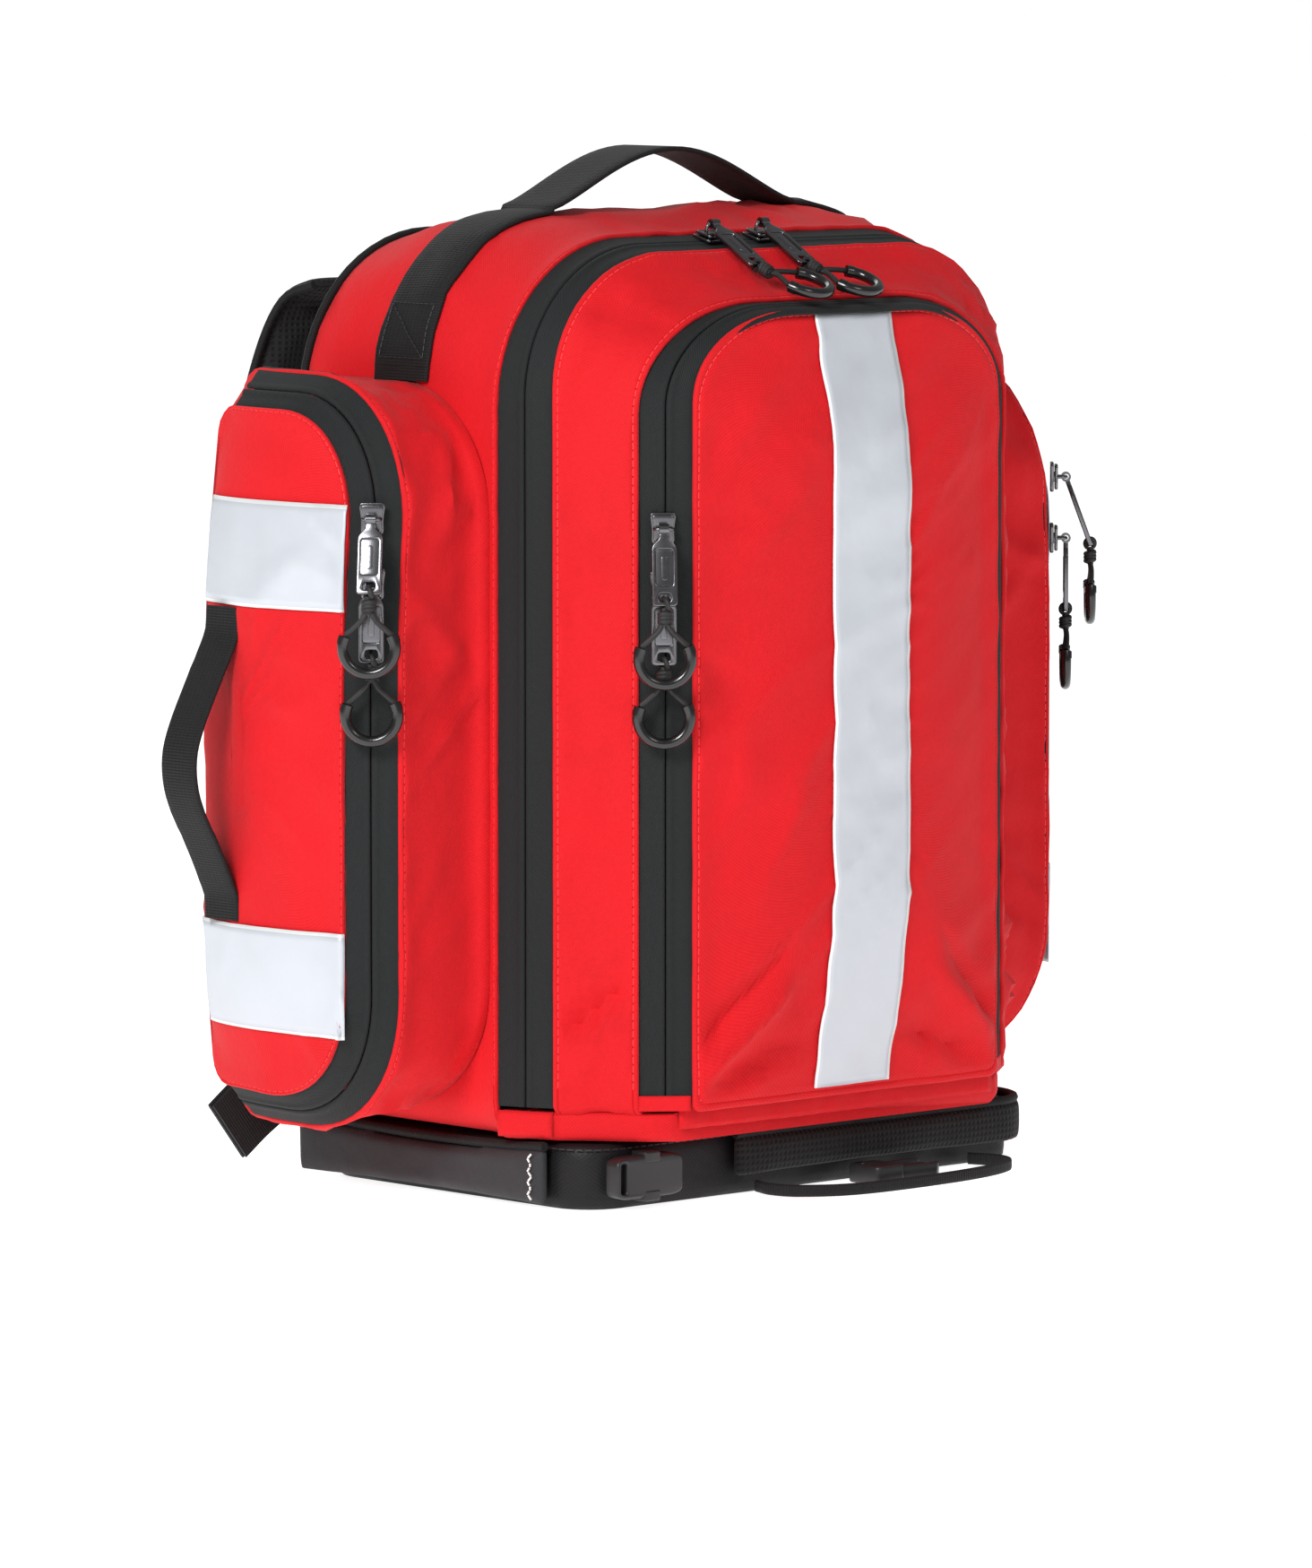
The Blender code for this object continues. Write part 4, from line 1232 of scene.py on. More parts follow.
# ---- zips ----------------------------------------------------------------------------
@dataclass(frozen=True)
class ZipTape:
    """A reverse coil zip's tape: two woven halves that meet over the hidden coil."""

    under: float = 0.0035       # how far it runs under the fabric either side
    lift: float = 0.0009
    bead: float = 0.0007        # rise where the coil lies beneath
    thick: float = 0.0007

    def profile(self, reach: float) -> list[Spot]:
        """One half's section as distance from the centre line and height.

        Args:
            reach: From the centre line to the fabric's edge.

        Returns:
            The section's corners.
        """
        lift, bead = self.lift, self.bead
        upper = [(0.0002, 0.0001), (0.0004, lift), (0.0009, lift + bead * 0.8), (0.0018, lift + bead),
                 (0.0030, lift + bead * 0.9), (0.0038, lift + bead * 0.3), (0.0044, lift),
                 (reach * 0.6, lift), (reach - 0.0008, lift), (reach + 0.0004, lift - 0.0004),
                 (reach + self.under, lift - 0.0014)]
        lower = [(reach + self.under, lift - 0.0014 - self.thick), (reach * 0.6, lift - self.thick),
                 (0.0044, lift - self.thick), (0.0012, lift + bead - self.thick)]
        return upper + lower

    def halves(self, first: np.ndarray, second: np.ndarray, names: tuple[str, str],
               inside: Sequence[float]) -> list[Piece]:
        """Makes both halves between the two edges of the opening.

        Args:
            first: Points of one fabric edge.
            second: Points of the other edge.
            names: Names for the half at the first edge and the half at the second.
            inside: A point inside the pack.

        Returns:
            The two halves.
        """
        made = []
        centre = (first + second) / 2
        outward = Skin([first, second], inside=inside).normals().mean(0)
        for edge, name in ((first, names[0]), (second, names[1])):
            away = edge - centre
            reach = float(np.linalg.norm(away, axis=1).mean())
            side = away / np.linalg.norm(away, axis=1, keepdims=True)
            rows = []
            for i in range(len(centre)):
                rows.append([centre[i] + side[i] * a + outward[i] * b for a, b in self.profile(reach)])
            shape = close_ends(Skin(rows, wrap=True).grid())
            made.append(finish_piece(name, shape, "zip_tape_twill", angle=60.0))
        return made


@dataclass(frozen=True)
class Seat:
    """Where a slider stands: a point on the tape, the way up the zip and the way off the cloth."""

    point: Vector
    up: Vector
    normal: Vector

    def frame(self) -> Matrix:
        """X along the puller's bar, Y away from where it hangs, Z off the tape.

        Returns:
            The matrix of that frame.
        """
        z = self.normal.normalized()
        y = (self.up - z * self.up.dot(z)).normalized()
        turn = Matrix((y.cross(z), y, z)).transposed().to_4x4()
        return Matrix.Translation(self.point) @ turn


@dataclass(frozen=True)
class SliderSet:
    """A zip slider with its stamped puller, its knotted cord and the bent grip tube on it."""

    label: str
    seat: Seat
    on_top: bool
    lean: float
    hang: float
    skew: float
    axis: float = 0.0084        # height of the arch's bar above the tape
    reach: float = 0.036        # from that bar to the puller's lower bar
    bend: float = 0.0125        # radius that the grip is bent to
    drop: float = 0.026         # from the puller's lower bar to the middle of the bend

    def slider(self) -> Shape:
        """The slider's two plates, its post and the arch that holds the puller.

        Returns:
            The shape.
        """
        half_x, half_y = (0.0075, 0.0065) if self.on_top else (0.0065, 0.0075)
        waist = 0.0012
        if self.on_top:
            outline = [(-half_x, -half_y), (0, -half_y + waist), (half_x, -half_y + 0.001),
                       (half_x, half_y - 0.001), (0, half_y - waist), (-half_x, half_y)]
        else:
            outline = [(-half_x, half_y), (-half_x + waist, 0), (-half_x + 0.001, -half_y),
                       (half_x - 0.001, -half_y), (half_x - waist, 0), (half_x, half_y)]
        shape = bmesh.new()
        base, cap = 0.0017, 0.0016
        add_plate(shape, [(outline, 0.0022)], base, 0.0004, (0, 0, 0.0004 + base / 2))
        inner = [(x * 0.86, y * 0.86) for x, y in outline]
        add_plate(shape, [(inner, 0.0020)], cap, 0.0005, (0, 0, 0.0026 + cap / 2))
        post = oblong(-0.0030, 0.0030, -0.0026, 0.0026)
        add_plate(shape, [(post, 0.0012)], 0.0030, 0.0003, (0, 0, 0.0028))
        foot, top, span = 0.0036, self.axis, 0.0042
        path = smooth_path([(-span, 0, foot), (-span, 0, top - 0.0016), (-span + 0.0012, 0, top),
                            (0, 0, top + 0.0001), (span - 0.0012, 0, top), (span, 0, top - 0.0016),
                            (span, 0, foot)], 5)
        merge(shape, cord_mesh(path, 0.00082, 10))
        return shape

    def puller(self) -> Shape:
        """The stamped puller: an eye, a raised rim, a sunk panel and a slot for the cord.

        Returns:
            The shape.
        """
        half, thick, end = 0.0060, 0.0024, self.reach + 0.0010
        neck = 0.0024
        slot_top, slot_low = self.reach - 0.0052, self.reach - 0.0010
        outer = [(-neck, -0.0018), (-neck, -0.0046), (-half, -0.0080), (-half, -end),
                 (half, -end), (half, -0.0080), (neck, -0.0046), (neck, -0.0018)]
        slot = oblong(-0.0030, 0.0030, -slot_top, -slot_low)
        panel = oblong(-0.0041, 0.0041, -0.0096, -slot_top + 0.0034)
        shape = bmesh.new()
        add_plate(shape, [(outer, 0.0022), (slot, 0.0016), (panel, 0.0016)], thick, 0.0005)
        web = [(x * 1.08, y) for x, y in panel]
        add_plate(shape, [(web, 0.0016)], 0.0012, 0.0002)
        bar = oblong(-0.0016, 0.0016, -0.0128, -slot_top + 0.0062)
        add_plate(shape, [(bar, 0.0015)], 0.0017, 0.0003)
        ring = bmesh.new()
        half_wide = 0.0023
        for x, r in ((-half_wide, 0.0015), (half_wide, 0.0015), (half_wide, 0.0025), (-half_wide, 0.0025)):
            ring.verts.new((x, r, 0.0))
        ring.edges.index_update()
        corners = list(ring.verts)
        edges = [ring.edges.new((corners[k], corners[(k + 1) % 4])) for k in range(4)]
        bmesh.ops.spin(ring, geom=corners + edges, cent=(0, 0, 0), axis=(1, 0, 0), angle=2 * math.pi,
                       steps=24, use_merge=True)
        bmesh.ops.remove_doubles(ring, verts=ring.verts[:], dist=WELD)
        bmesh.ops.recalc_face_normals(ring, faces=ring.faces[:])
        merge(shape, ring)
        return shape

    def cord(self) -> Shape:
        """Cord through the puller's slot, knotted below it, down to the grip on both sides.

        Returns:
            The shape.
        """
        shape = bmesh.new()
        radius = 0.00135
        eye = [(0.0016 * math.sin(a * 0.5), 0.0024 * math.cos(a), 0.0024 * math.sin(a))
               for a in np.linspace(-2.6, 2.6, 15)]
        merge(shape, cord_mesh([Vector(p) for p in eye], 0.00125, 8))
        wraps, steps, turns = [], 42, 3
        for k in range(steps + 1):
            angle = k / steps * turns * 2 * math.pi
            drop = -0.0040 - 0.0052 * k / steps
            wraps.append(Vector((0.0024 * math.cos(angle), drop, 0.0021 * math.sin(angle))))
        merge(shape, cord_mesh(wraps, radius, 8))
        core = [Vector((0, -0.0018, 0)), Vector((0, -0.0060, 0.0002)), Vector((0, -0.0104, 0))]
        merge(shape, cord_mesh(core, 0.0018, 8))
        for side in (-1, 1):
            strand = smooth_path([(side * 0.0009, -0.0090, 0), (side * 0.0035, -0.0132, 0.0006),
                                  (side * 0.0082, -0.0176, 0.0004), self.grip_end(side)], 6)
            merge(shape, cord_mesh(strand, radius, 8), self.turned())
        return shape

    def grip_end(self, side: int) -> Place:
        """Where the cord enters the grip tube."""
        angle = math.radians(28)
        return (side * self.bend * math.cos(angle), -self.drop + self.bend * math.sin(angle), 0.0)

    def turned(self) -> Matrix:
        """Turns what hangs below the knot.

        Returns:
            The matrix of that turn.
        """
        neck = Vector((0.0, -0.0066, 0.0))
        turn = Matrix.Rotation(math.radians(self.skew), 4, "Z")
        return Matrix.Translation(neck) @ turn @ Matrix.Translation(-neck)

    def grip(self) -> Shape:
        """The bent grip tube, with a collar at each end.

        Returns:
            The shape.
        """
        shape = bmesh.new()
        turns = [math.radians(a) for a in range(28, -209, -8)]
        path = [Vector((self.bend * math.cos(a), -self.drop + self.bend * math.sin(a), 0)) for a in turns]
        merge(shape, cord_mesh(path, 0.0027, 14), self.turned())
        for ends in (path[:3], path[-3:]):
            merge(shape, cord_mesh(ends, 0.0030, 14), self.turned())
        return shape

    def build(self) -> None:
        """Makes the four pieces and puts them on their bodies."""
        frame_here = self.seat.frame()
        pivot = frame_here @ Matrix.Translation((0, 0, self.axis))
        puller_at = pivot @ Matrix.Rotation(math.radians(-self.lean), 4, "X")
        bar = puller_at @ Vector((0, -self.reach, 0))
        turn = frame_here.to_3x3() @ Matrix.Rotation(math.radians(-self.hang), 3, "X")
        pull_at = Matrix.Translation(bar) @ turn.to_4x4()
        for shape, place, end, finish, body in (
            (self.slider(), frame_here, "slider_body", "gunmetal", "slider"),
            (self.puller(), puller_at, "puller_plate", "gunmetal", "puller"),
            (self.cord(), pull_at, "pull_cord", "pull_cord", "pull"),
            (self.grip(), pull_at, "pull_grip", "grip_tube", "pull"),
        ):
            bmesh.ops.transform(shape, matrix=place, verts=shape.verts[:])
            piece = finish_piece(f"{self.label}_{end}", shape, finish, angle=40.0)
            node = f"{self.label}_{body}"
            wear(piece, node, *(() if end == "pull_grip" else (node,)))


SEAT_RISE = 0.0017              # from an outline to the top of its zip's tape


def side_seat(first: Section, second: Section, side: int, height: float) -> Seat:
    """A seat on the straight side of a zip that runs between two outlines.

    Args:
        first: The outline behind the zip.
        second: The outline before the zip.
        side: -1 for the left, 1 for the right.
        height: Height above the floor.

    Returns:
        The seat.
    """
    middle = first.mix(second, 0.5)
    run, depth = first.half - second.half, first.y - second.y
    return Seat(Vector((side * (middle.half + SEAT_RISE), middle.y, height)), Vector((0, 0, 1)),
                Vector((side * depth, -run, 0)))


def top_seat(first: Section, second: Section, x: float) -> Seat:
    """A seat on the level top of a zip.

    Args:
        first: The outline behind the zip.
        second: The outline before the zip.
        x: Distance to the right of the middle.

    Returns:
        The seat.
    """
    middle = first.mix(second, 0.5)
    drop, depth = first.high - second.high, first.y - second.y
    point = Vector((x, middle.y, middle.high + SEAT_RISE))
    return Seat(point, Vector((0, 1, 0)), Vector((0, -drop, depth)))


def pocket_seat(side: int, height: float) -> Seat:
    """A seat on the front of a side pocket's zip.

    Args:
        side: -1 for the left, 1 for the right.
        height: Height above the floor.

    Returns:
        The seat.
    """
    inner, outer = POCKET_WALL[1], DOOR[0]
    middle = inner.mix(outer, 0.5)
    run, depth = outer.x - inner.x, outer.front - inner.front
    return Seat(Vector((side * middle.x, middle.front - SEAT_RISE, height)), Vector((0, 0, 1)),
                Vector((side * depth, -run, 0)))


# ---- main compartment ----------------------------------------------------------------
@dataclass
class MainCompartment:
    """The rear shell with its turned edge at the main zip, and the fixed strip under the lid."""

    spacing: Spacing = Spacing()
    pitch: float = 0.0075

    def sections(self) -> tuple[Section, ...]:
        """Outlines from the main zip to the back."""
        corner, foot = 0.080, 0.018
        return (
            MAIN_REAR,
            Section(-0.022, HALF_WIDTH, LOW, CREST - 0.0045, corner, corner, foot),
            Section(0.010, HALF_WIDTH, LOW, CREST, corner, corner, foot),
            Section(0.042, HALF_WIDTH, LOW, CREST - 0.0015, corner, corner, foot),
            Section(0.072, HALF_WIDTH - 0.001, LOW, CREST - 0.007, corner, corner, foot),
            Section(0.095, HALF_WIDTH - 0.004, LOW + 0.001, CREST - 0.0135, corner, corner, foot),
            Section(0.099, HALF_WIDTH - 0.011, LOW + 0.006, CREST - 0.020, corner, corner, foot),
        )

    def build(self) -> Piece:
        """Makes the shell, its seams and the strip that the lid folds on, and returns the shell.

        Returns:
            The shell.
        """
        sections = self.sections()
        depths = [s.y for s in sections]
        distances = np.array(edge_rows(depths[-1] - depths[0], self.pitch))
        rows = []
        for distance in distances:
            place = float(np.interp(depths[0] + distance, depths, range(len(depths))))
            rows.append(curve_through(sections, place).ring(self.spacing))
        skin = Skin(rows, wrap=True, inside=(0, 0.02, 0.24))
        run, reach = spread(skin, distances)
        lift = edge_lift(reach) + pucker(run, reach, 0.0009, 3.1)
        fade = np.clip(reach / 0.02, 0, 1) * np.clip((distances[-1] - reach) / 0.02, 0, 1)
        above = np.clip((skin.points[..., 2] - 0.39) / 0.03, 0, 1)
        folds = relief(skin.points, (Folds((1, 0.5, 0.2), 0.026, 0.0040, 5.3),
                                     Folds((0.2, 1, 0.1), 0.045, 0.0040, 1.9)))
        skin.push(lift + folds * fade * above)
        rim = skin.points[-1]
        middle = rim.mean(0)
        cap = [middle + (rim - middle) * (1 - k / 12) for k in range(1, 12)]
        skin.points = np.concatenate([skin.points, np.array(cap)])
        shape = skin.grid()
        fill_hole(shape, lambda spot: spot.y > 0.09)
        shell = wear(panel_of("rear_shell_fabric", shape), "pack_body", "rear_shell")
        stitch_row(skin, STITCH_ROW, "shell_stitches", "pack_body", STITCH_LOW)
        self.build_strip()
        self.build_back_piping(sections[-2])
        return shell

    def build_strip(self) -> None:
        """The fixed strip of the bottom, and the cloth that crosses the fold."""
        tall = FOLD_TOP - LOW
        front = FRONT_REAR.mix(FRONT_FRONT, 0.62)
        plans = [replace(MAIN_REAR, y=-0.0494)]
        plans += [MAIN_FRONT.mix(FRONT_REAR, share) for share in (0.0, 0.3, 0.6, 1.0)]
        rows = [replace(plan, low=LOW, high=FOLD_TOP - 0.0004, wide=0.003, tall=0.003, foot=0.005)
                for plan in [*plans, front]]
        spacing = Spacing(4, 3, 40, 3, 40)
        skin = Skin([s.ring(spacing) for s in rows], wrap=True, inside=(0, -0.09, LOW + tall / 2))
        shape = close_ends(skin.grid())
        wear(finish_piece("bottom_fold_fabric", shape, "red_nylon", angle=60.0), "pack_body", "bottom_fold")
        half = front.half - 0.004
        lines = []
        for z in np.linspace(LOW + 0.006, FOLD_TOP + 0.010, 9):
            swell = 0.0010 * math.sin((z - LOW) / 0.02 * math.pi)
            lines.append([(x, FOLD_FRONT - 0.0012 - 0.0022 * math.cos((x / half) * math.pi / 2) - swell, z)
                          for x in np.linspace(-half, half, 60)])
        sheet = Skin(lines, inside=(0, 0, 0.05))
        sheet.push(relief(sheet.points, (Folds((0.3, 0, 1), 0.016, 0.0012, 8.2),)))
        piece = finish_piece("bottom_fold_bridge", sheet.grid(), "red_nylon")
        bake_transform(piece)
        thicken(piece, STRIP_WALL)

    def build_back_piping(self, section: Section) -> None:
        """Corded piping round the back seam.

        Args:
            section: The outline it follows.
        """
        ring = [Vector(p) for p in section.ring(self.spacing)]
        outward = [(p - Vector((0, p.y, 0.25))).normalized() for p in ring]
        path = [p + n * 0.0012 for p, n in zip(ring, outward)]
        path += path[:2]
        wear(finish_piece("back_seam_piping", cord_mesh(path, 0.0022, 8), "black_webbing"), "pack_body")


@dataclass
class MainLid:
    """The gusset between the two front zips, with the panel behind it."""

    spacing: Spacing = Spacing()

    def build(self) -> None:
        """Makes the gusset, its seams and the panel behind it."""
        low, foot = FOLD_TOP + 0.0003, 0.003
        rear, front = replace(MAIN_FRONT, low=low, foot=foot), replace(FRONT_REAR, low=low, foot=foot)
        width = math.hypot(front.y - rear.y, front.half - rear.half)
        distances = np.array(edge_rows(width, 0.0042, far_edge=True))
        rows = [rear.mix(front, d / width).ring(self.spacing) for d in distances]
        skin = Skin(rows, wrap=True, inside=(0, -0.06, 0.24))
        run, reach = spread(skin, distances)
        near = np.minimum(reach, width - reach)
        lift = edge_lift(near) + pucker(run, near, 0.0010, 7.7)
        fade = np.clip(near / 0.010, 0, 1)
        marks = [Folds((0.5, -0.5, 0.7), 0.020, 0.0058, 2.4), Folds((0.6, -0.6, 0.35), 0.011, 0.0022, 6.6)]
        low_marks = []
        for side in (-1, 1):
            marks += [
                Crease((side * 0.127, -0.0755, 0.440), (side * 0.099, -0.104, 0.417), 0.0022, -0.0026),
                Crease((side * 0.146, -0.0770, 0.0600), (side * 0.124, -0.103, 0.0600), 0.0012, -0.0022),
            ]
            low_marks += [
                Crease((side * 0.146, -0.078, 0.072), (side * 0.125, -0.101, 0.094), 0.0050, 0.0060),
                Crease((side * 0.146, -0.078, 0.084), (side * 0.124, -0.102, 0.110), 0.0035, -0.0044),
                Crease((side * 0.146, -0.078, 0.104), (side * 0.126, -0.099, 0.120), 0.0040, 0.0048),
            ]
        bulge = 0.0020 * np.sin(np.pi * (reach / width))
        skin.push(lift + bulge + relief(skin.points, marks) * fade + relief(skin.points, low_marks) * fade)
        wear(panel_of("lid_gusset_fabric", skin.grid()), "main_lid", "main_lid")
        stitch_row(skin, STITCH_ROW, "gusset_rear_stitches", "main_lid", STITCH_LOW)
        stitch_row(skin, -1 - STITCH_ROW, "gusset_front_stitches", "main_lid", STITCH_LOW)
        outline = replace(MAIN_FRONT, y=-0.0700, half=MAIN_FRONT.half - 0.0030,
                          high=MAIN_FRONT.high - 0.0030, low=low + 0.001, foot=0.006).ring(self.spacing)
        middle = outline.mean(0)
        discs = [middle + (outline - middle) * (1 - k / 14) for k in range(14)]
        panel = Skin(discs, wrap=True, inside=(0, -0.3, 0.24))
        panel.push(relief(panel.points, (Folds((0.3, 0, 1), 0.06, 0.0025, 4.4),)))
        shape = panel.grid()
        fill_hole(shape, lambda spot: abs(spot.x) < 0.03)
        wear(thicken(finish_piece("lid_divider_panel", shape, "lining_nylon"), 0.0020), "main_lid")


@dataclass
class FrontFlap:
    """The bowed front flap with the wide reflective strip down its middle."""

    spacing: Spacing = Spacing(60, 16, 26, 4, 30)
    bulge: float = 0.0180

    def build(self) -> None:
        """Makes the flap, then lays the strip on it."""
        low = FOLD_TOP + 0.0003
        edge = replace(FRONT_FRONT, low=low, foot=0.004)
        core = Section(edge.y, 0.003, 0.195, 0.305, 0.002, 0.002, 0.002)
        width = edge.half - core.half
        distances = np.array(edge_rows(width, 0.0048))
        rows = []
        for distance in distances:
            share = distance / width
            rise = math.sin(math.pi / 2 * min(1.0, share / 0.72))
            rows.append(replace(edge.mix(core, share), y=edge.y - self.bulge * rise).ring(self.spacing))
        skin = Skin(rows, wrap=True, inside=(0, 0, 0.24))
        run, reach = spread(skin, distances)
        lift = edge_lift(reach) + pucker(run, reach, 0.0008, 12.5)
        fade = np.clip(reach / 0.012, 0, 1)
        marks = [Folds((0.75, 0, 0.6), 0.030, 0.0034, 9.1), Folds((1, 0, 0.35), 0.015, 0.0015, 3.7)]
        low_marks = []
        for side in (-1, 1):
            low_marks += [
                Crease((side * 0.098, -0.124, 0.066), (side * 0.050, -0.134, 0.104), 0.0050, 0.0062),
                Crease((side * 0.098, -0.124, 0.080), (side * 0.052, -0.136, 0.122), 0.0042, -0.0046),
                Crease((side * 0.092, -0.124, 0.058), (side * 0.036, -0.130, 0.078), 0.0045, -0.0040),
                Crease((side * 0.070, -0.124, 0.056), (side * 0.030, -0.130, 0.070), 0.0040, 0.0042),
            ]
        skin.push(lift + (relief(skin.points, marks) + relief(skin.points, low_marks)) * fade)
        shape = skin.grid()
        fill_hole(shape, lambda spot: abs(spot.x) < 0.02 and 0.15 < spot.z < 0.35)
        flap = wear(panel_of("front_flap_fabric", shape), "front_flap", "front_flap")
        stitch_row(skin, STITCH_ROW, "flap_stitches", "front_flap", STITCH_LOW)
        self.build_strip(flap)

    def build_strip(self, flap: Piece) -> None:
        """Lays the reflective strip on the flap.

        Args:
            flap: The flap it lies on.
        """
        tree = surface_of(flap)
        half, rows = TAPE_WIDTH / 2, []
        for z in np.linspace(0.0530, FRONT_FRONT.high - 0.0028, 110):
            row = []
            for x in np.linspace(-half, half, 13):
                hit, normal, _, _ = tree.ray_cast(Vector((x, -0.3, z)), Vector((0, 1, 0)))
                if normal.y > 0:
                    normal = -normal
                row.append(hit + normal * 0.0007)
            rows.append(row)
        skin = Skin(rows, inside=(0, 0, 0.24))
        self.smooth_depth(skin)
        strip = finish_piece("front_reflective_strip", skin.grid(), "reflective_tape")
        wear(thicken(strip, TAPE_WALL), "front_flap", "front_stripe")

    def smooth_depth(self, skin: Skin) -> None:
        """Bridges the strip over the cloth's smallest hollows, and keeps it on top of its ridges.

        Args:
            skin: The strip's sheet.
        """
        depth = skin.points[..., 1]
        smooth = depth.copy()
        for _ in range(6):
            padded = np.pad(smooth, 1, mode="edge")
            near = (padded[:-2, 1:-1] + padded[2:, 1:-1] + padded[1:-1, :-2] + padded[1:-1, 2:]) / 4
            smooth = np.minimum((smooth + near) / 2, depth)
        skin.points[..., 1] = smooth - 0.0006


# ---- side pockets --------------------------------------------------------------------
@dataclass
class SidePocket:
    """One side pocket: its wall, C-shaped zip, pillowed door, bands and grab handle."""

    side: int
    spacing: Spacing = Spacing(48, 14, 14, 4, 14)
    droop: float = 0.016
    upper_band: float = 0.2892
    lower_band: float = 0.0850

    @property
    def label(self) -> str:
        """left or right."""
        return dict(SIDES)[self.side]

    @property
    def middle(self) -> Place:
        """A point inside the pocket."""
        return (self.side * 0.19, 0.02, 0.22)

    def build(self) -> None:
        """Makes every piece of the pocket."""
        self.build_wall()
        door = self.build_door()
        self.build_zip()
        self.build_hinge()
        bands = [self.build_band(door, "upper", self.upper_band),
                 self.build_band(door, "lower", self.lower_band)]
        self.build_grab(surface_of(door, *bands))

    def build_wall(self) -> None:
        """The pocket's wall, flared where it is sewn to the pack."""
        inner, outer = POCKET_WALL
        length = outer.x - inner.x
        distances = np.array(edge_rows(length, 0.0040))
        rows = []
        for distance in distances:
            section = outer.mix(inner, distance / length)
            flare = 0.0075 * math.exp(-(length - distance) / 0.0065)
            section = replace(section, front=section.front - flare, low=section.low - flare * 0.5,
                              high=section.high + flare, corner=section.corner + flare)
            rows.append(section.ring(self.spacing, self.side))
        skin = Skin(rows, wrap=True, inside=self.middle)
        skin.points = self.slump(skin.points)
        run, reach = spread(skin, distances)
        lift = edge_lift(reach) + pucker(run, reach, 0.0009, 20.5 + self.side)
        fade = np.clip(reach / 0.010, 0, 1) * np.clip((length - reach) / 0.008, 0, 1)
        s = self.side
        marks = (
            Folds((s * -0.75, -0.1, 0.55), 0.026, 0.0065, 14.0 + s),
            Folds((s * -0.8, 0, 0.35), 0.013, 0.0020, 17.0 + s),
            Crease((s * 0.214, -0.043, 0.098), (s * 0.168, -0.040, 0.062), 0.0030, -0.0026),
            Crease((s * 0.200, -0.040, 0.070), (s * 0.166, -0.040, 0.052), 0.0030, 0.0022),
            Crease((s * 0.214, -0.043, 0.300), (s * 0.176, -0.040, 0.262), 0.0060, 0.0026),
        )
        swell = 0.0035 * np.sin(np.pi * np.clip(reach / length, 0, 1))
        skin.push(lift + swell + relief(skin.points, marks) * fade)
        wall = panel_of(f"side_pocket_fabric_{self.label}", skin.grid())
        wear(wall, "pack_body", f"side_pocket_{self.label}")
        stitch_row(skin, STITCH_ROW, f"side_pocket_stitches_{self.label}", "pack_body")

    def build_door(self) -> Piece:
        """The pillowed door, closed at its middle.

        Returns:
            The door.
        """
        first = 0.0200
        distances = edge_rows(first, 0.004)
        places = [d / first for d in distances] + [1 + 0.25 * k for k in range(1, 9)]
        rows = [curve_through(DOOR, min(place, 3.0)).ring(self.spacing, self.side) for place in places]
        skin = Skin(rows, wrap=True, inside=self.middle)
        skin.points = self.slump(skin.points)
        run, reach = spread(skin, distances + [first + 0.02 * k for k in range(1, 9)])
        lift = edge_lift(reach) + pucker(run, reach, 0.0008, 30.5 + self.side)
        fade = np.clip(reach / 0.012, 0, 1)
        marks = (Folds((0, 0.8, 0.6), 0.028, 0.0042, 24.0 + self.side),)
        skin.push(lift + relief(skin.points, marks) * fade)
        shape = skin.grid()
        fill_hole(shape, lambda spot: abs(spot.x) > 0.242)
        door = panel_of(f"side_door_fabric_{self.label}", shape)
        stitch_row(skin, STITCH_ROW, f"side_door_stitches_{self.label}", f"side_door_{self.label}")
        return wear(door, f"side_door_{self.label}", f"side_door_{self.label}")

    def build_hinge(self) -> None:
        """The strip of fabric at the rear that the door folds on, between the zip's two ends."""
        first = self.spacing.bottom * 2 + self.spacing.corner * 2 + self.spacing.side - 2
        rows = []
        for share in np.linspace(-0.14, 1.14, 10):
            ring = POCKET_WALL[1].mix(DOOR[0], share).ring(self.spacing, self.side)
            rows.append(self.slump(np.concatenate([ring[first:], ring[:3]])))
        skin = Skin(rows, inside=self.middle)
        skin.push(0.0004 + relief(skin.points, (Folds((0, 0, 1), 0.02, 0.0008, 41.0),)))
        strip = finish_piece(f"side_hinge_strip_{self.label}", skin.grid(), "red_nylon")
        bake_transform(strip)
        thicken(strip, STRIP_WALL)

    def edges(self) -> tuple[np.ndarray, np.ndarray]:
        """The two fabric edges of the pocket's zip."""
        return (self.slump(POCKET_WALL[1].arch(self.spacing, self.side)),
                self.slump(DOOR[0].arch(self.spacing, self.side)))

    def slump(self, points: np.ndarray) -> np.ndarray:
        """Draws the pocket's outer parts in towards its rear and its ends, as a stuffed pocket sags.

        Args:
            points: Points of the pocket.

        Returns:
            The moved points.
        """
        moved = points.copy()
        out = np.clip((np.abs(points[..., 0]) - 0.170) / 0.076, 0, 1)
        high = np.clip((points[..., 2] - 0.250) / 0.148, 0, 1) ** 2
        low = np.clip((0.120 - points[..., 2]) / 0.082, 0, 1) ** 2
        rear = np.clip((points[..., 1] - 0.030) / 0.058, 0, 1) ** 2
        draw = self.droop * high + 0.6 * self.droop * low + 0.8 * self.droop * rear
        moved[..., 0] -= self.side * out * draw
        return moved

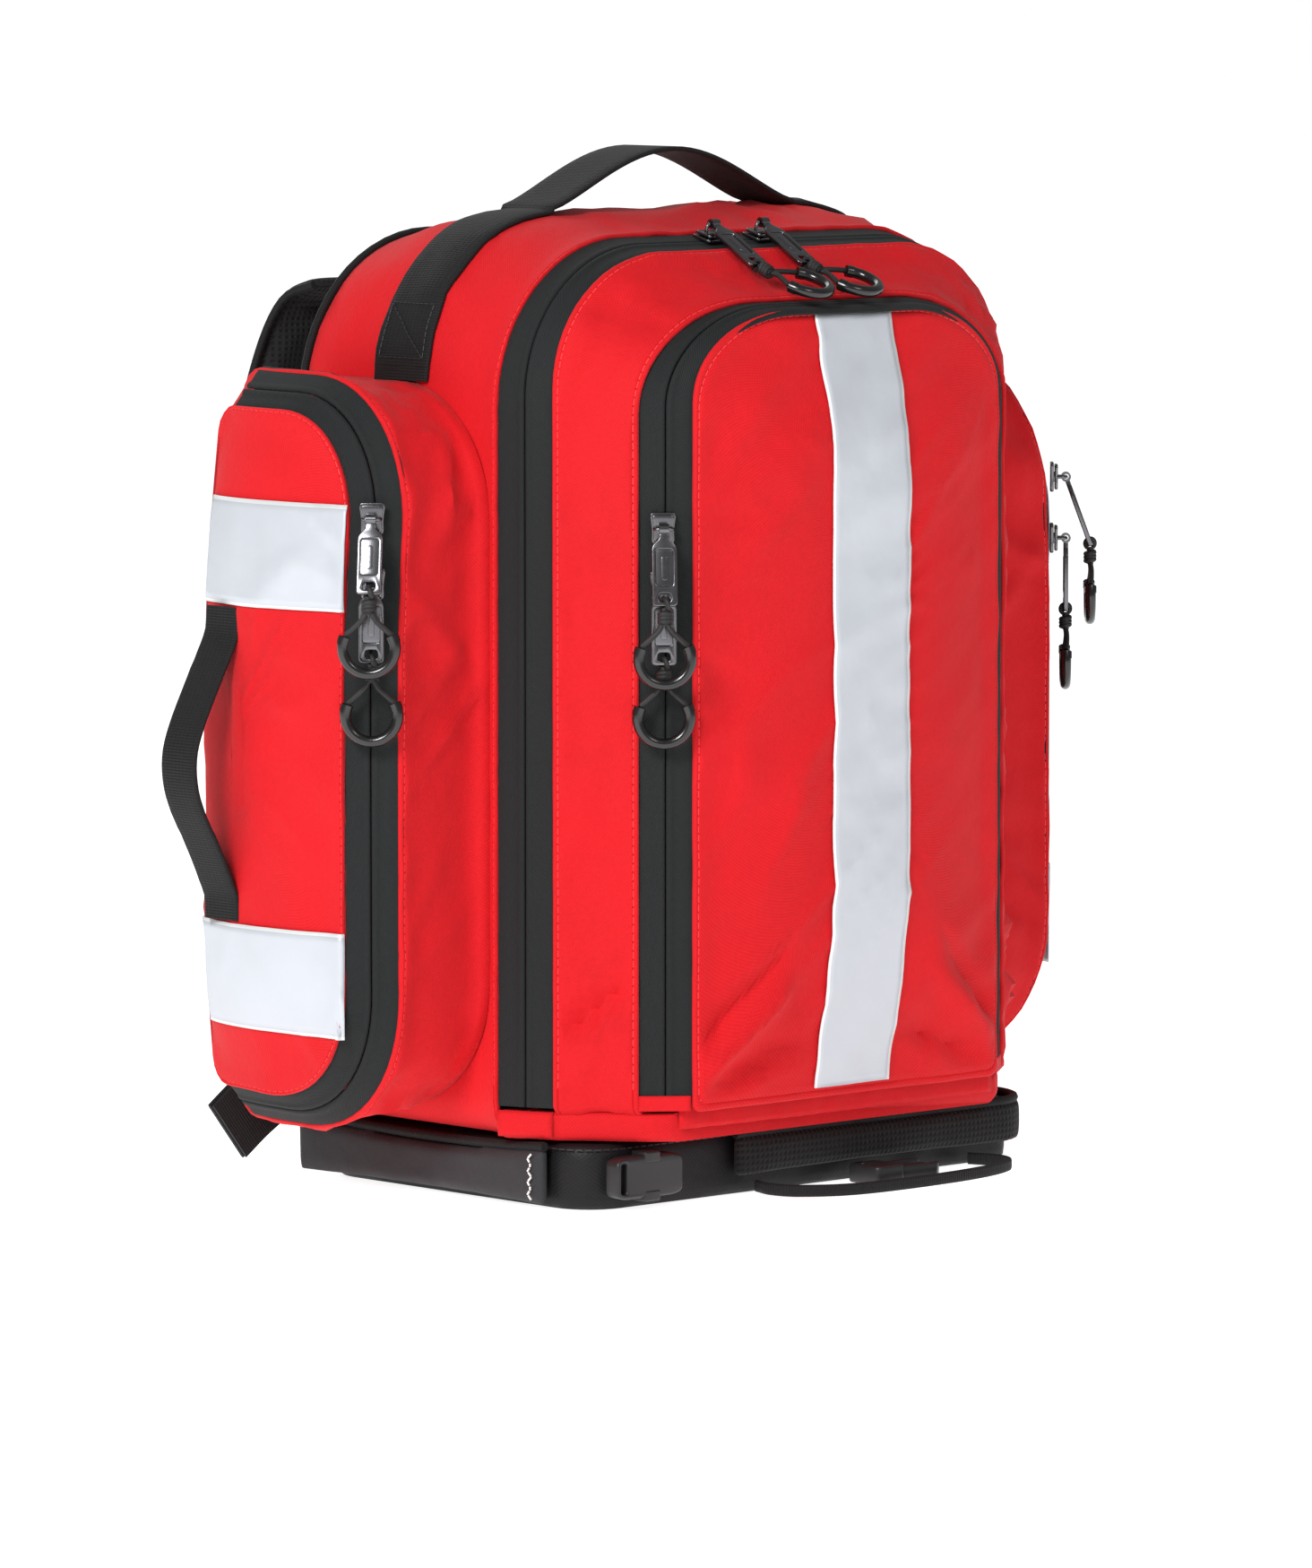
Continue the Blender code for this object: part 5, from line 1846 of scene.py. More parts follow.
    def build_zip(self) -> None:
        """The C-shaped zip."""
        label = self.label
        names = (f"side_zip_pocket_half_{label}", f"side_zip_door_half_{label}")
        pocket_half, door_half = ZipTape().halves(*self.edges(), names, self.middle)
        wear(pocket_half, "pack_body", f"side_tape_pocket_{label}")
        wear(door_half, f"side_door_{label}", f"side_tape_door_{label}")

    def build_band(self, door: Piece, place: str, low: float) -> Piece:
        """Wraps a reflective band round the door at a height.

        Args:
            door: The door it lies on.
            place: upper or lower.
            low: Height of its lower edge.

        Returns:
            The band.
        """
        tree = surface_of(door)
        plan = smooth_path([(0.2375, -0.0248, 0), (0.2425, -0.0130, 0), (0.2470, 0.0060, 0),
                            (0.2480, 0.0350, 0), (0.2470, 0.0680, 0), (0.2400, 0.0850, 0)], 8)
        columns = []
        for spot, along in zip(plan, tangents(plan)):
            out = Vector((along.y, -along.x, 0)).normalized()
            column = []
            for z in np.linspace(low, low + TAPE_WIDTH, 12):
                start = Vector((self.side * (spot.x + out.x * 0.02), spot.y + out.y * 0.02, z))
                toward = Vector((-self.side * out.x, -out.y, 0))
                hit = tree.ray_cast(start, toward)[0]
                if hit is None:
                    hit = start + toward * 0.02
                column.append(hit - toward * 0.0013)
            columns.append(column)
        skin = Skin(columns, inside=(self.side * 0.2, 0.03, low + 0.02))
        band = finish_piece(f"{place}_band_tape_{self.label}", skin.grid(), "reflective_tape")
        thicken(band, TAPE_WALL)
        return wear(band, f"side_door_{self.label}", f"{place}_band_{self.label}")

    def build_grab(self, door: BVHTree) -> None:
        """The webbing grab handle, sewn flat at both ends and bowed out between.

        Args:
            door: The surface of the door and its bands.
        """
        low, high = self.lower_band + TAPE_WIDTH + 0.0012, self.upper_band - 0.0012
        path = []
        for share in np.linspace(0, 1, 41):
            z = low + (high - low) * share
            hit, _, _, _ = door.ray_cast(Vector((self.side * 0.4, 0.056, z)), Vector((-self.side, 0, 0)))
            inner = min(1.0, max(0.0, (min(share, 1 - share) - 0.07) / 0.43))
            bow = 0.0262 * ((1 - math.cos(math.pi * inner)) / 2) ** 0.7
            path.append(Vector((self.side * (abs(hit.x) + 0.0014 + bow), 0.056, z)))
        strap = strap_mesh(path, Vector((0, 1, 0)), GRAB_WIDTH, WEB_WALL)
        wear(finish_piece(f"grab_handle_webbing_{self.label}", strap, "black_webbing"),
             f"side_door_{self.label}", f"grab_handle_{self.label}")


@dataclass
class FrontZips:
    """The main zip over the top and down both sides, and the front flap's zip inside it."""

    spacing: Spacing = Spacing(60, 20, 30)
    main_end: float = 0.049
    front_end: float = 0.055

    def build(self) -> None:
        """Makes the four tape halves, the tabs under the main zip's ends and the fabric stops below the
        front zip's ends.
        """
        inside = (0, -0.02, 0.24)
        pairs = (
            (MAIN_REAR, MAIN_FRONT, self.main_end, ("main_zip_shell_half", "main_zip_lid_half"),
             (("pack_body", "main_tape_body"), ("main_lid", "main_tape_lid"))),
            (FRONT_REAR, FRONT_FRONT, self.front_end, ("front_zip_gusset_half", "front_zip_flap_half"),
             (("main_lid", "front_tape_lid"), ("front_flap", "front_tape_flap"))),
        )
        for rear, front, end, names, places in pairs:
            halves = ZipTape().halves(rear.arch(self.spacing, end), front.arch(self.spacing, end), names,
                                      inside)
            for half, (body, node) in zip(halves, places):
                wear(half, body, node)
        for side, label in SIDES:
            self.build_tab(side, label)
            self.build_stop(side, label)

    def build_stop(self, side: int, label: str) -> None:
        """The fabric below the lower end of the front zip.

        Args:
            side: -1 for the left, 1 for the right.
            label: left or right.
        """
        rows = []
        for z in np.linspace(0.0482, self.front_end + 0.0006, 6):
            rows.append([(side * FRONT_REAR.mix(FRONT_FRONT, t).half, FRONT_REAR.mix(FRONT_FRONT, t).y, z)
                         for t in np.linspace(-0.02, 0.98, 12)])
        skin = Skin(rows, inside=(0, -0.02, 0.05))
        skin.push(np.full((6, 12), 0.0016))
        wear(thicken(finish_piece(f"zip_end_stop_{label}", skin.grid(), "red_nylon"), 0.0012), "main_lid")

    def build_tab(self, side: int, label: str) -> None:
        """A folded tab of fabric sewn over the lower end of the main zip.

        Args:
            side: -1 for the left, 1 for the right.
            label: left or right.
        """
        rows = []
        for z in np.linspace(0.0345, 0.0472, 7):
            rows.append([(side * MAIN_REAR.mix(MAIN_FRONT, t).half, MAIN_REAR.mix(MAIN_FRONT, t).y, z)
                         for t in np.linspace(0.0, 1.0, 12)])
        skin = Skin(rows, inside=(0, -0.02, 0.04))
        swell = np.sin(np.linspace(0, math.pi, 7))[:, None] * np.ones((7, 12)) * 0.0012
        skin.push(0.0016 + swell)
        piece = finish_piece(f"zip_end_tab_{label}", skin.grid(), "red_nylon")
        wear(thicken(piece, 0.0022), "pack_body")


def build_sliders() -> None:
    """Puts the eight slider sets on their zips."""
    main, front = (MAIN_REAR, MAIN_FRONT), (FRONT_REAR, FRONT_FRONT)
    SliderSet("main_left", top_seat(*main, -0.033), True, -17, -8, 38).build()
    SliderSet("main_right", top_seat(*main, 0.0), True, -17, -8, 38).build()
    SliderSet("front_upper", side_seat(*front, -1, 0.328), False, 12, 0, 0).build()
    SliderSet("front_lower", side_seat(*front, -1, 0.300), False, 0, 0, 0).build()
    for side, label in SIDES:
        SliderSet(f"{label}_upper", pocket_seat(side, 0.334), False, 20, 0, 0).build()
        SliderSet(f"{label}_lower", pocket_seat(side, 0.303), False, 0, 0, 0).build()


# ---- handle, boot and harness --------------------------------------------------------
@dataclass
class CarryHandle:
    """Wide webbing sewn up both sides of the pack, with a free arch over the top."""

    width: float = 0.038
    thick: float = WEB_WALL
    y: float = 0.018
    end: float = 0.402
    free: float = 0.080
    peak: float = 0.506

    def build(self, shell: Piece) -> None:
        """Lays the webbing on the shell and stitches its ends.

        Args:
            shell: The shell it is sewn to.
        """
        crest = Section(0.010, HALF_WIDTH, LOW, CREST, 0.080, 0.080, 0.018)
        tree = surface_of(shell)
        left = [(x, z) for x, z in crest.over(Spacing(14, 26, 30), self.end) if x < -self.free]
        seat = CREST + 0.0014
        arch = [(-self.free, seat)]
        for step in range(1, 15):
            share = step / 14
            rise = math.sin(share * math.pi / 2) ** 1.25
            arch.append((-self.free * (1 - share), seat + (self.peak - self.thick - seat) * rise))
        flat = [(x, z, True) for x, z in left] + [(x, z, False) for x, z in arch]
        flat += [(-x, z, sewn) for x, z, sewn in reversed(flat[:-1])]
        path = [Vector((x, self.y, z)) for x, z, _ in flat]
        along = tangents(path)
        ring = strap_profile(self.width, self.thick)
        rows = []
        for (x, z, sewn), spot, way in zip(flat, path, along):
            lift = way.cross(Vector((0, 1, 0))).normalized()
            if lift.z < 0 and abs(x) < 0.15 or lift.x * x < 0:
                lift = -lift
            row = []
            for a, b in ring:
                base = spot + Vector((0, a, 0))
                if sewn:
                    hit, _, _, _ = tree.ray_cast(base + lift * 0.03, -lift)
                    base = (hit or base) + lift * (self.thick / 2 + 0.0002)
                row.append(base + lift * b)
            rows.append(row)
        shape = close_ends(Skin(rows, wrap=True).grid())
        wear(finish_piece("carry_handle_webbing", shape, "black_webbing"), "pack_body", "carry_handle")
        for side, label in SIDES:
            self.build_tack(tree, side, label)

    def build_tack(self, tree: BVHTree, side: int, label: str) -> None:
        """A box of stitches, crossed corner to corner, at one sewn end.

        Args:
            tree: The surface it lies on.
            side: -1 for the left, 1 for the right.
            label: left or right.
        """
        half = self.width / 2 - 0.004
        corners = [*oblong(-half, half, 0.004, 0.030), (-half, 0.004), (half, 0.030)]
        path, lifts = [], []
        for (y0, z0), (y1, z1) in zip(corners, corners[1:]):
            for t in np.linspace(0, 1, 12):
                z, y = self.end + z0 + (z1 - z0) * t, self.y + y0 + (y1 - y0) * t
                hit, _, _, _ = tree.ray_cast(Vector((side * 0.4, y, z)), Vector((-side, 0, 0)))
                path.append(Vector((hit.x + side * 0.0029, y, z)))
                lifts.append(Vector((side, 0, 0)))
        wear(stitches(f"handle_stitches_{label}", path, lifts, Thread.BLACK, 0.0034), "pack_body")


@dataclass
class Boot:
    """The black base boot of coated fabric, its top edge rounded in, with a row of stitches just below it.
    """

    half: float = 0.148
    front: float = -0.097
    back: float = 0.098
    height: float = 0.0322
    corner: float = 0.024

    def ring(self, inset: float, z: float) -> list[Place]:
        """A rounded rectangle at a height, drawn in by an inset.

        Args:
            inset: How far it is drawn in.
            z: Its height.

        Returns:
            Its points.
        """
        half, front, back = self.half - inset, self.front + inset, self.back - inset
        corner = max(self.corner - inset, 0.002)
        path = run_of((half, front + corner), (half, back - corner), 26)
        path += quarter((half - corner, back - corner), (corner, corner), 0, 90, 8)
        path += run_of((half - corner, back), (-half + corner, back), 36)
        path += quarter((-half + corner, back - corner), (corner, corner), 90, 180, 8)
        path += run_of((-half, back - corner), (-half, front + corner), 26)
        path += quarter((-half + corner, front + corner), (corner, corner), 180, 270, 8)
        path += run_of((-half + corner, front), (half - corner, front), 36)
        path += quarter((half - corner, front + corner), (corner, corner), 270, 360, 8)
        return [(x, y, z) for x, y in path]

    def build(self) -> None:
        """Makes the boot and its seam."""
        top = self.height - 0.0005
        levels = ((0.090, 0.0), (0.040, 0.0), (0.006, 0.0), (0.002, 0.0006), (0.0004, 0.0028),
                  (0.0, 0.006), (0.0, 0.011), (0.0, 0.016), (0.0, 0.021), (0.0002, 0.025),
                  (0.0008, 0.028), (0.0022, 0.0305), (0.005, top), (0.030, top), (0.090, top))
        skin = Skin([self.ring(inset, z) for inset, z in levels], wrap=True, inside=(0, 0, 0.016))
        upright = np.array([1.0 if 0.0006 < z < 0.0300 else 0.0 for _, z in levels])[:, None]
        skin.push(relief(skin.points, (Folds((0.4, 0.4, 0.3), 0.030, 0.0018, 31.0),)) * upright)
        boot = finish_piece("base_boot_fabric", close_ends(skin.grid()), "boot_fabric")
        wear(boot, "pack_body", "base_boot")
        seam = [Vector(p) for p in self.ring(-0.0002, 0.0296)]
        outward = [Vector((p.x, p.y, 0)).normalized() for p in seam]
        wear(stitches("base_boot_stitches", seam, outward, Thread.BLACK, 0.0045), "pack_body")


@dataclass
class BackPanel:
    """The padded mesh panel against the wearer's back, with sewn channels."""

    half: float = 0.140
    low: float = 0.045
    high: float = 0.435
    front: float = 0.1024
    thick: float = 0.0168
    channels: tuple[float, ...] = (0.165, 0.305)

    def outline(self, inset: float) -> list[Spot]:
        """The panel's rounded outline.

        Args:
            inset: How far it is drawn in.

        Returns:
            Its points.
        """
        half, low, high = self.half - inset, self.low + inset, self.high - inset
        corners = [(-half, low), (-half, high), (half, high), (half, low)]
        return rounded(corners, 0.050 - inset, 8)

    def build(self) -> None:
        """Makes the pad, presses its channels and binds its edge."""
        shape = plate_mesh([self.outline(0.0015)], self.thick - 0.003, 0.004)
        middle = self.front + self.thick / 2
        turn = Matrix.Translation((0, middle, 0)) @ Matrix.Rotation(math.pi / 2, 4, "X")
        bmesh.ops.transform(shape, matrix=turn, verts=shape.verts[:])
        bmesh.ops.recalc_face_normals(shape, faces=shape.faces[:])
        pad = finish_piece("back_panel_pad", shape, "spacer_mesh")
        inflate(pad, 0.005, 3.0, 0.004)
        for vert in pad.data.vertices:
            x, y, z = vert.co
            channel = math.exp(-((x / 0.011) ** 2))
            channel += sum(math.exp(-(((z - at) / 0.009) ** 2)) for at in self.channels)
            edge = min(self.half - abs(x), z - self.low, self.high - z)
            seam = math.exp(-(max(edge - 0.010, 0.0) / 0.005) ** 2) if edge < 0.020 else 0.0
            if y > middle:
                vert.co.y = max(middle, min(y, self.front + self.thick + 0.002) - 0.0065 * min(1.0, channel)
                                - 0.0045 * seam)
            else:
                vert.co.y = max(y, self.front)
        box_uv(pad)
        wear(subdivide(pad), "pack_body", "back_panel")
        rim = [Vector((x, self.front + 0.0040, z)) for x, z in self.outline(-0.0006)]
        binding = cord_mesh(rim + rim[:2], 0.0028, 8)
        wear(finish_piece("back_panel_binding", binding, "black_webbing"), "pack_body")


@dataclass
class ShoulderStrap:
    """A padded shoulder strap, its webbing and its ladder lock."""

    side: int
    stations: tuple = (
        (0.088, 0.1335, 0.436, 1.0, 0.8), (0.094, 0.150, 0.428, 1.0, 1.0), (0.101, 0.161, 0.400, 1.0, 1.0),
        (0.110, 0.168, 0.350, 1.0, 1.0), (0.118, 0.170, 0.290, 1.0, 1.0), (0.124, 0.167, 0.230, 1.0, 1.0),
        (0.129, 0.160, 0.175, 0.9, 0.9), (0.132, 0.154, 0.140, 0.62, 0.7), (0.133, 0.151, 0.128, 0.0, 0.0),
        (0.138, 0.145, 0.095, 0.0, 0.0), (0.144, 0.138, 0.060, 0.0, 0.0), (0.148, 0.134, 0.040, 0.0, 0.0),
    )
    width: float = 0.065
    thick: float = 0.013
    web_width: float = GRAB_WIDTH
    web_thick: float = WEB_WALL

    @property
    def label(self) -> str:
        """left or right."""
        return dict(SIDES)[self.side]

    def build(self) -> None:
        """Makes the pad, the webbing below it and the ladder lock."""
        body = f"shoulder_strap_{self.label}"
        path = smooth_path([(self.side * s[0], s[1], s[2]) for s in self.stations], 5)
        fullness = smooth_path([(s[3], s[4], 0) for s in self.stations], 5)
        stop = 7 * 5 + 2
        rows = []
        along = tangents(path)
        for spot, way, full in zip(path[:stop], along, fullness):
            half = (self.web_width + (self.width - self.web_width) * min(1.0, full.x)) / 2 - 0.002
            deep = (self.web_thick + (self.thick - self.web_thick) * min(1.0, full.y)) / 2 - 0.0016
            across = Vector((1, 0, 0))
            lift = way.cross(across).normalized()
            ring = []
            for k in range(24):
                angle = 2 * math.pi * k / 24
                c, s = math.cos(angle), math.sin(angle)
                ring.append(spot + across * half * math.copysign(abs(c) ** 0.45, c)
                            + lift * deep * math.copysign(abs(s) ** 0.75, s))
            rows.append(ring)
        shape = close_ends(Skin(rows, wrap=True).grid())
        pad = finish_piece(f"shoulder_strap_pad_{self.label}", shape, "spacer_mesh")
        inflate(pad, 0.0035, 2.5, 0.0022)
        box_uv(pad)
        wear(subdivide(pad), body, body)
        for edge in (-1, 1):
            line = []
            for spot, full in zip(path[:stop], fullness):
                half = (self.web_width + (self.width - self.web_width) * min(1.0, full.x)) / 2
                line.append(spot + Vector((edge * (half - 0.0018), 0, 0)))
            name = f"strap_binding_{'outer' if edge * self.side > 0 else 'inner'}_{self.label}"
            wear(finish_piece(name, cord_mesh(line, 0.0022, 8), "black_webbing"), body)
        web = strap_mesh(path[stop - 8:], Vector((1, 0, 0)), self.web_width, self.web_thick)
        wear(finish_piece(f"strap_webbing_{self.label}", web, "black_webbing"), body, body)
        spine = [p + along[i].cross(Vector((1, 0, 0))).normalized() * (self.thick / 2 + 0.0006)
                 for i, p in enumerate(path[4:26], 4)]
        if spine[8].y < path[12].y:
            spine = [p * 2 - q for p, q in zip(path[4:26], spine)]
        daisy = strap_mesh(spine, Vector((1, 0, 0)), GRAB_WIDTH, 0.0016)
        wear(finish_piece(f"strap_daisy_webbing_{self.label}", daisy, "black_webbing"), body)
        self.build_lock(body)
        self.build_anchor()

    def build_anchor(self) -> None:
        """The doubled webbing tab at the pack's lower rear corner that the strap's webbing is sewn to."""
        path = smooth_path([(self.side * x, y, z) for x, y, z in (
            (0.150, 0.1035, 0.056), (0.168, 0.1045, 0.047), (0.186, 0.1060, 0.036),
            (0.200, 0.1075, 0.025))], 5)
        across = Vector((self.side * 0.45, 0.25, 0.8))
        shape = strap_mesh(path, across, 0.032, WEB_WALL)
        back = [p + Vector((0, -0.0028, 0)) for p in path[3:]]
        merge(shape, strap_mesh(back, across, 0.031, WEB_WALL))
        wear(finish_piece(f"strap_anchor_tab_{self.label}", shape, "black_webbing"), "pack_body")
        ends = [path[-2] + Vector((0, 0.0016, 0)) + across.normalized() * t
                for t in np.linspace(-0.013, 0.013, 12)]
        lifts = [Vector((0, 1, 0))] * len(ends)
        row = stitches(f"strap_anchor_stitches_{self.label}", ends, lifts, Thread.BLACK, 0.003)
        wear(row, "pack_body")

    def build_lock(self, body: str) -> None:
        """The moulded ladder lock that grips the webbing.

        Args:
            body: The body it rides on.
        """
        upper, lower = Vector(self.stations[9][:3]), Vector(self.stations[10][:3])
        middle, along = (upper + lower) / 2, (upper - lower).normalized()
        normal = along.cross(Vector((1, 0, 0))).normalized()
        across = along.cross(normal)
        place = Matrix.Translation(middle) @ Matrix((across, along, normal)).transposed().to_4x4()
        shape = bmesh.new()
        half, length = 0.0205, 0.013
        rail = oblong(-0.0021, 0.0021, -length, length)
        for edge in (-1, 1):
            add_plate(shape, [(rail, 0.0015)], 0.0066, 0.0010, (edge * 0.0184, 0, 0))
        bar = oblong(-half + 0.003, half - 0.003, -0.0020, 0.0020)
        for y, z in ((-0.0105, 0.0030), (-0.0035, -0.0032), (0.0035, -0.0032), (0.0105, 0.0030)):
            add_plate(shape, [(bar, 0.0012)], 0.0022, 0.0007, (0, y, z))
        bmesh.ops.transform(shape, matrix=place, verts=shape.verts[:])
        if self.side < 0:
            bmesh.ops.scale(shape, vec=(-1, 1, 1), verts=shape.verts[:])
            bmesh.ops.recalc_face_normals(shape, faces=shape.faces[:])
        wear(finish_piece(f"ladder_lock_frame_{self.label}", shape, "acetal", angle=40.0), body,
             f"ladder_lock_{self.label}")


@dataclass
class HipBelt:
    """Two padded wings folded round the boot, the waist webbing and its side release buckle."""

    line: float = 0.1531
    front: float = -0.1021
    corner: float = 0.0291
    thick: float = 0.009

    def build(self) -> None:
        """Makes both wings and what hangs on them."""
        line, front, corner = self.line, self.front, self.corner
        left = [(-line, y) for y in (0.105, 0.085, 0.06, 0.035, 0.01, -0.015, -0.04, -0.06, front + corner)]
        bend = quarter((line - corner, front + corner), (corner, corner), 0, -90, 9)
        right = [(line, y) for y in (0.105, 0.080, 0.050, 0.02, -0.01, -0.04)] + bend
        right += [(x, front) for x in (line - corner, 0.10, 0.075, 0.05, 0.02, -0.01, -0.035, -0.055)]
        self.build_wing("left", left, 0.0012, 0.0315, -0.0026)
        self.build_wing("right", right, 0.0085, 0.0315, 0.0)
        self.build_webbing()
        self.build_buckle()

    def build_wing(self, label: str, plan: Sequence[Spot], low: float, high: float,
                   sag: float) -> None:
        """Makes one wing.

        Args:
            label: left or right.
            plan: Its path from above.
            low: Height of its lower edge.
            high: Height of its upper edge.
            sag: How far its upper edge droops at the middle.
        """
        path = smooth_path([(x, y, 0) for x, y in plan], 3)
        rows = []
        last = len(path) - 1
        for i, (spot, way) in enumerate(zip(path, tangents(path))):
            side = Vector((-way.y, way.x, 0))
            top = high - 0.0012 + sag * math.sin(math.pi * i / last)
            middle, half = (top + low + 0.0012) / 2, (top - low - 0.0012) / 2
            ring = []
            for k in range(20):
                c, s = math.cos(2 * math.pi * k / 20), math.sin(2 * math.pi * k / 20)
                ring.append(spot + side * (self.thick / 2 - 0.0015) * math.copysign(abs(c) ** 0.7, c)
                            + Vector((0, 0, middle + half * math.copysign(abs(s) ** 0.4, s))))
            rows.append(ring)
        finish = "belt_fabric" if label == "left" else "spacer_mesh"
        wing = finish_piece(f"hip_wing_pad_{label}", close_ends(Skin(rows, wrap=True).grid()), finish)
        inflate(wing, 0.0028, 2.0, 0.0012)
        for vert in wing.data.vertices:
            spot = vert.co
            crumple = noise.noise(Vector((spot.x * 40, spot.y * 40, spot.z * 55))) * 0.0009
            if abs(spot.x) > self.line:
                vert.co.x += math.copysign(crumple, spot.x)
            elif spot.y < self.front:
                vert.co.y -= crumple
        box_uv(wing)
        wear(subdivide(wing), f"hip_wing_{label}", f"hip_wing_{label}")
        edge = []
        for i, spot in enumerate(path):
            edge.append(Vector((spot.x, spot.y, high - 0.0008 + sag * math.sin(math.pi * i / last))))
        binding = cord_mesh(edge, 0.0024, 8)
        wear(finish_piece(f"hip_wing_binding_{label}", binding, "black_webbing"), f"hip_wing_{label}")
        if label == "left":
            self.build_zigzag()

    def build_zigzag(self) -> None:
        """The pale zigzag tack at the front corner of the left wing."""
        path = []
        face, near = -self.line - self.thick / 2 - 0.0004, self.front + self.corner + 0.004
        for k in range(9):
            path.append(Vector((face, near + 0.003 * (k % 2), 0.005 + 0.0028 * k)))
        fine = [a.lerp(b, t) for a, b in zip(path, path[1:]) for t in (0.0, 0.5)] + [path[-1]]
        lifts = [Vector((-1, 0, 0))] * len(fine)
        wear(stitches("wing_zigzag_tack", fine, lifts, Thread.WHITE, 0.0030, 0.0005), "hip_wing_left")

    def build_webbing(self) -> None:
        """The loop of waist webbing that lies in front of the boot."""
        front, start = self.front, self.front - self.thick / 2 + 0.004
        loop = smooth_path([
            (0.104, start, 0), (0.110, front - 0.018, 0), (0.100, front - 0.032, 0),
            (0.070, front - 0.041, 0), (0.025, front - 0.044, 0), (-0.015, front - 0.041, 0),
            (-0.038, front - 0.028, 0), (-0.044, front - 0.014, 0), (-0.041, start, 0)], 6)
        for spot in loop:
            spot.z = 0.0012 + 0.0031
        web = strap_mesh(loop, Vector((0, 0, 1)), 0.0060, WEB_WALL)
        wear(finish_piece("waist_webbing_loop", web, "black_webbing"), "hip_wing_right", "waist_webbing")

    def build_buckle(self) -> None:
        """Both halves of the buckle."""
        front = self.front
        male = bmesh.new()
        body = [(-0.023, -0.011), (-0.006, -0.011), (-0.004, -0.009), (-0.004, 0.009),
                (-0.006, 0.011), (-0.023, 0.011)]
        slot = oblong(-0.019, -0.015, -0.0085, 0.0085)
        add_plate(male, [(body, 0.003), (slot, 0.001)], 0.0095, 0.0014)
        for edge in (-1, 1):
            prong = [(x, edge * y) for x, y in (
                (-0.005, 0.0095), (0.012, 0.0105), (0.017, 0.0112), (0.0225, 0.0070),
                (0.0205, 0.0058), (0.012, 0.0072), (-0.005, 0.0062))]
            add_plate(male, [(prong if edge > 0 else prong[::-1], 0.0012)], 0.0068, 0.0010)
        add_plate(male, [(oblong(-0.005, 0.019, -0.0016, 0.0016), 0.0012)], 0.0050, 0.0008)
        place = Matrix.Translation((0.033, front - 0.022, 0.0012 + 0.0059))
        bmesh.ops.transform(male, matrix=place, verts=male.verts[:])
        wear(finish_piece("waist_buckle_prongs", male, "acetal", angle=40.0), "hip_wing_right",
             "waist_buckle_male")
        female = bmesh.new()
        shell = [(-0.0215, -0.0085), (-0.016, -0.0102), (0.016, -0.0102), (0.0215, -0.0085),
                 (0.0215, 0.0085), (0.016, 0.0102), (-0.016, 0.0102), (-0.0215, 0.0085)]
        window = oblong(-0.004, 0.006, -0.0120, -0.0068)
        bar = oblong(-0.0188, -0.0152, -0.0072, 0.0072)
        add_plate(female, [(shell, 0.003), (bar, 0.001)], 0.0096, 0.0016)
        for edge in (-1, 1):
            lug = [(x, y * edge) for x, y in window]
            add_plate(female, [(lug if edge > 0 else lug[::-1], 0.001)], 0.0104, 0.0008)
        place = Matrix.Translation((-0.116, front - 0.0012, 0.0165)) @ Matrix.Rotation(math.pi / 2, 4, "X")
        bmesh.ops.transform(female, matrix=place, verts=female.verts[:])
        wear(finish_piece("waist_buckle_socket", female, "acetal", angle=40.0), "hip_wing_left",
             "waist_buckle_female")


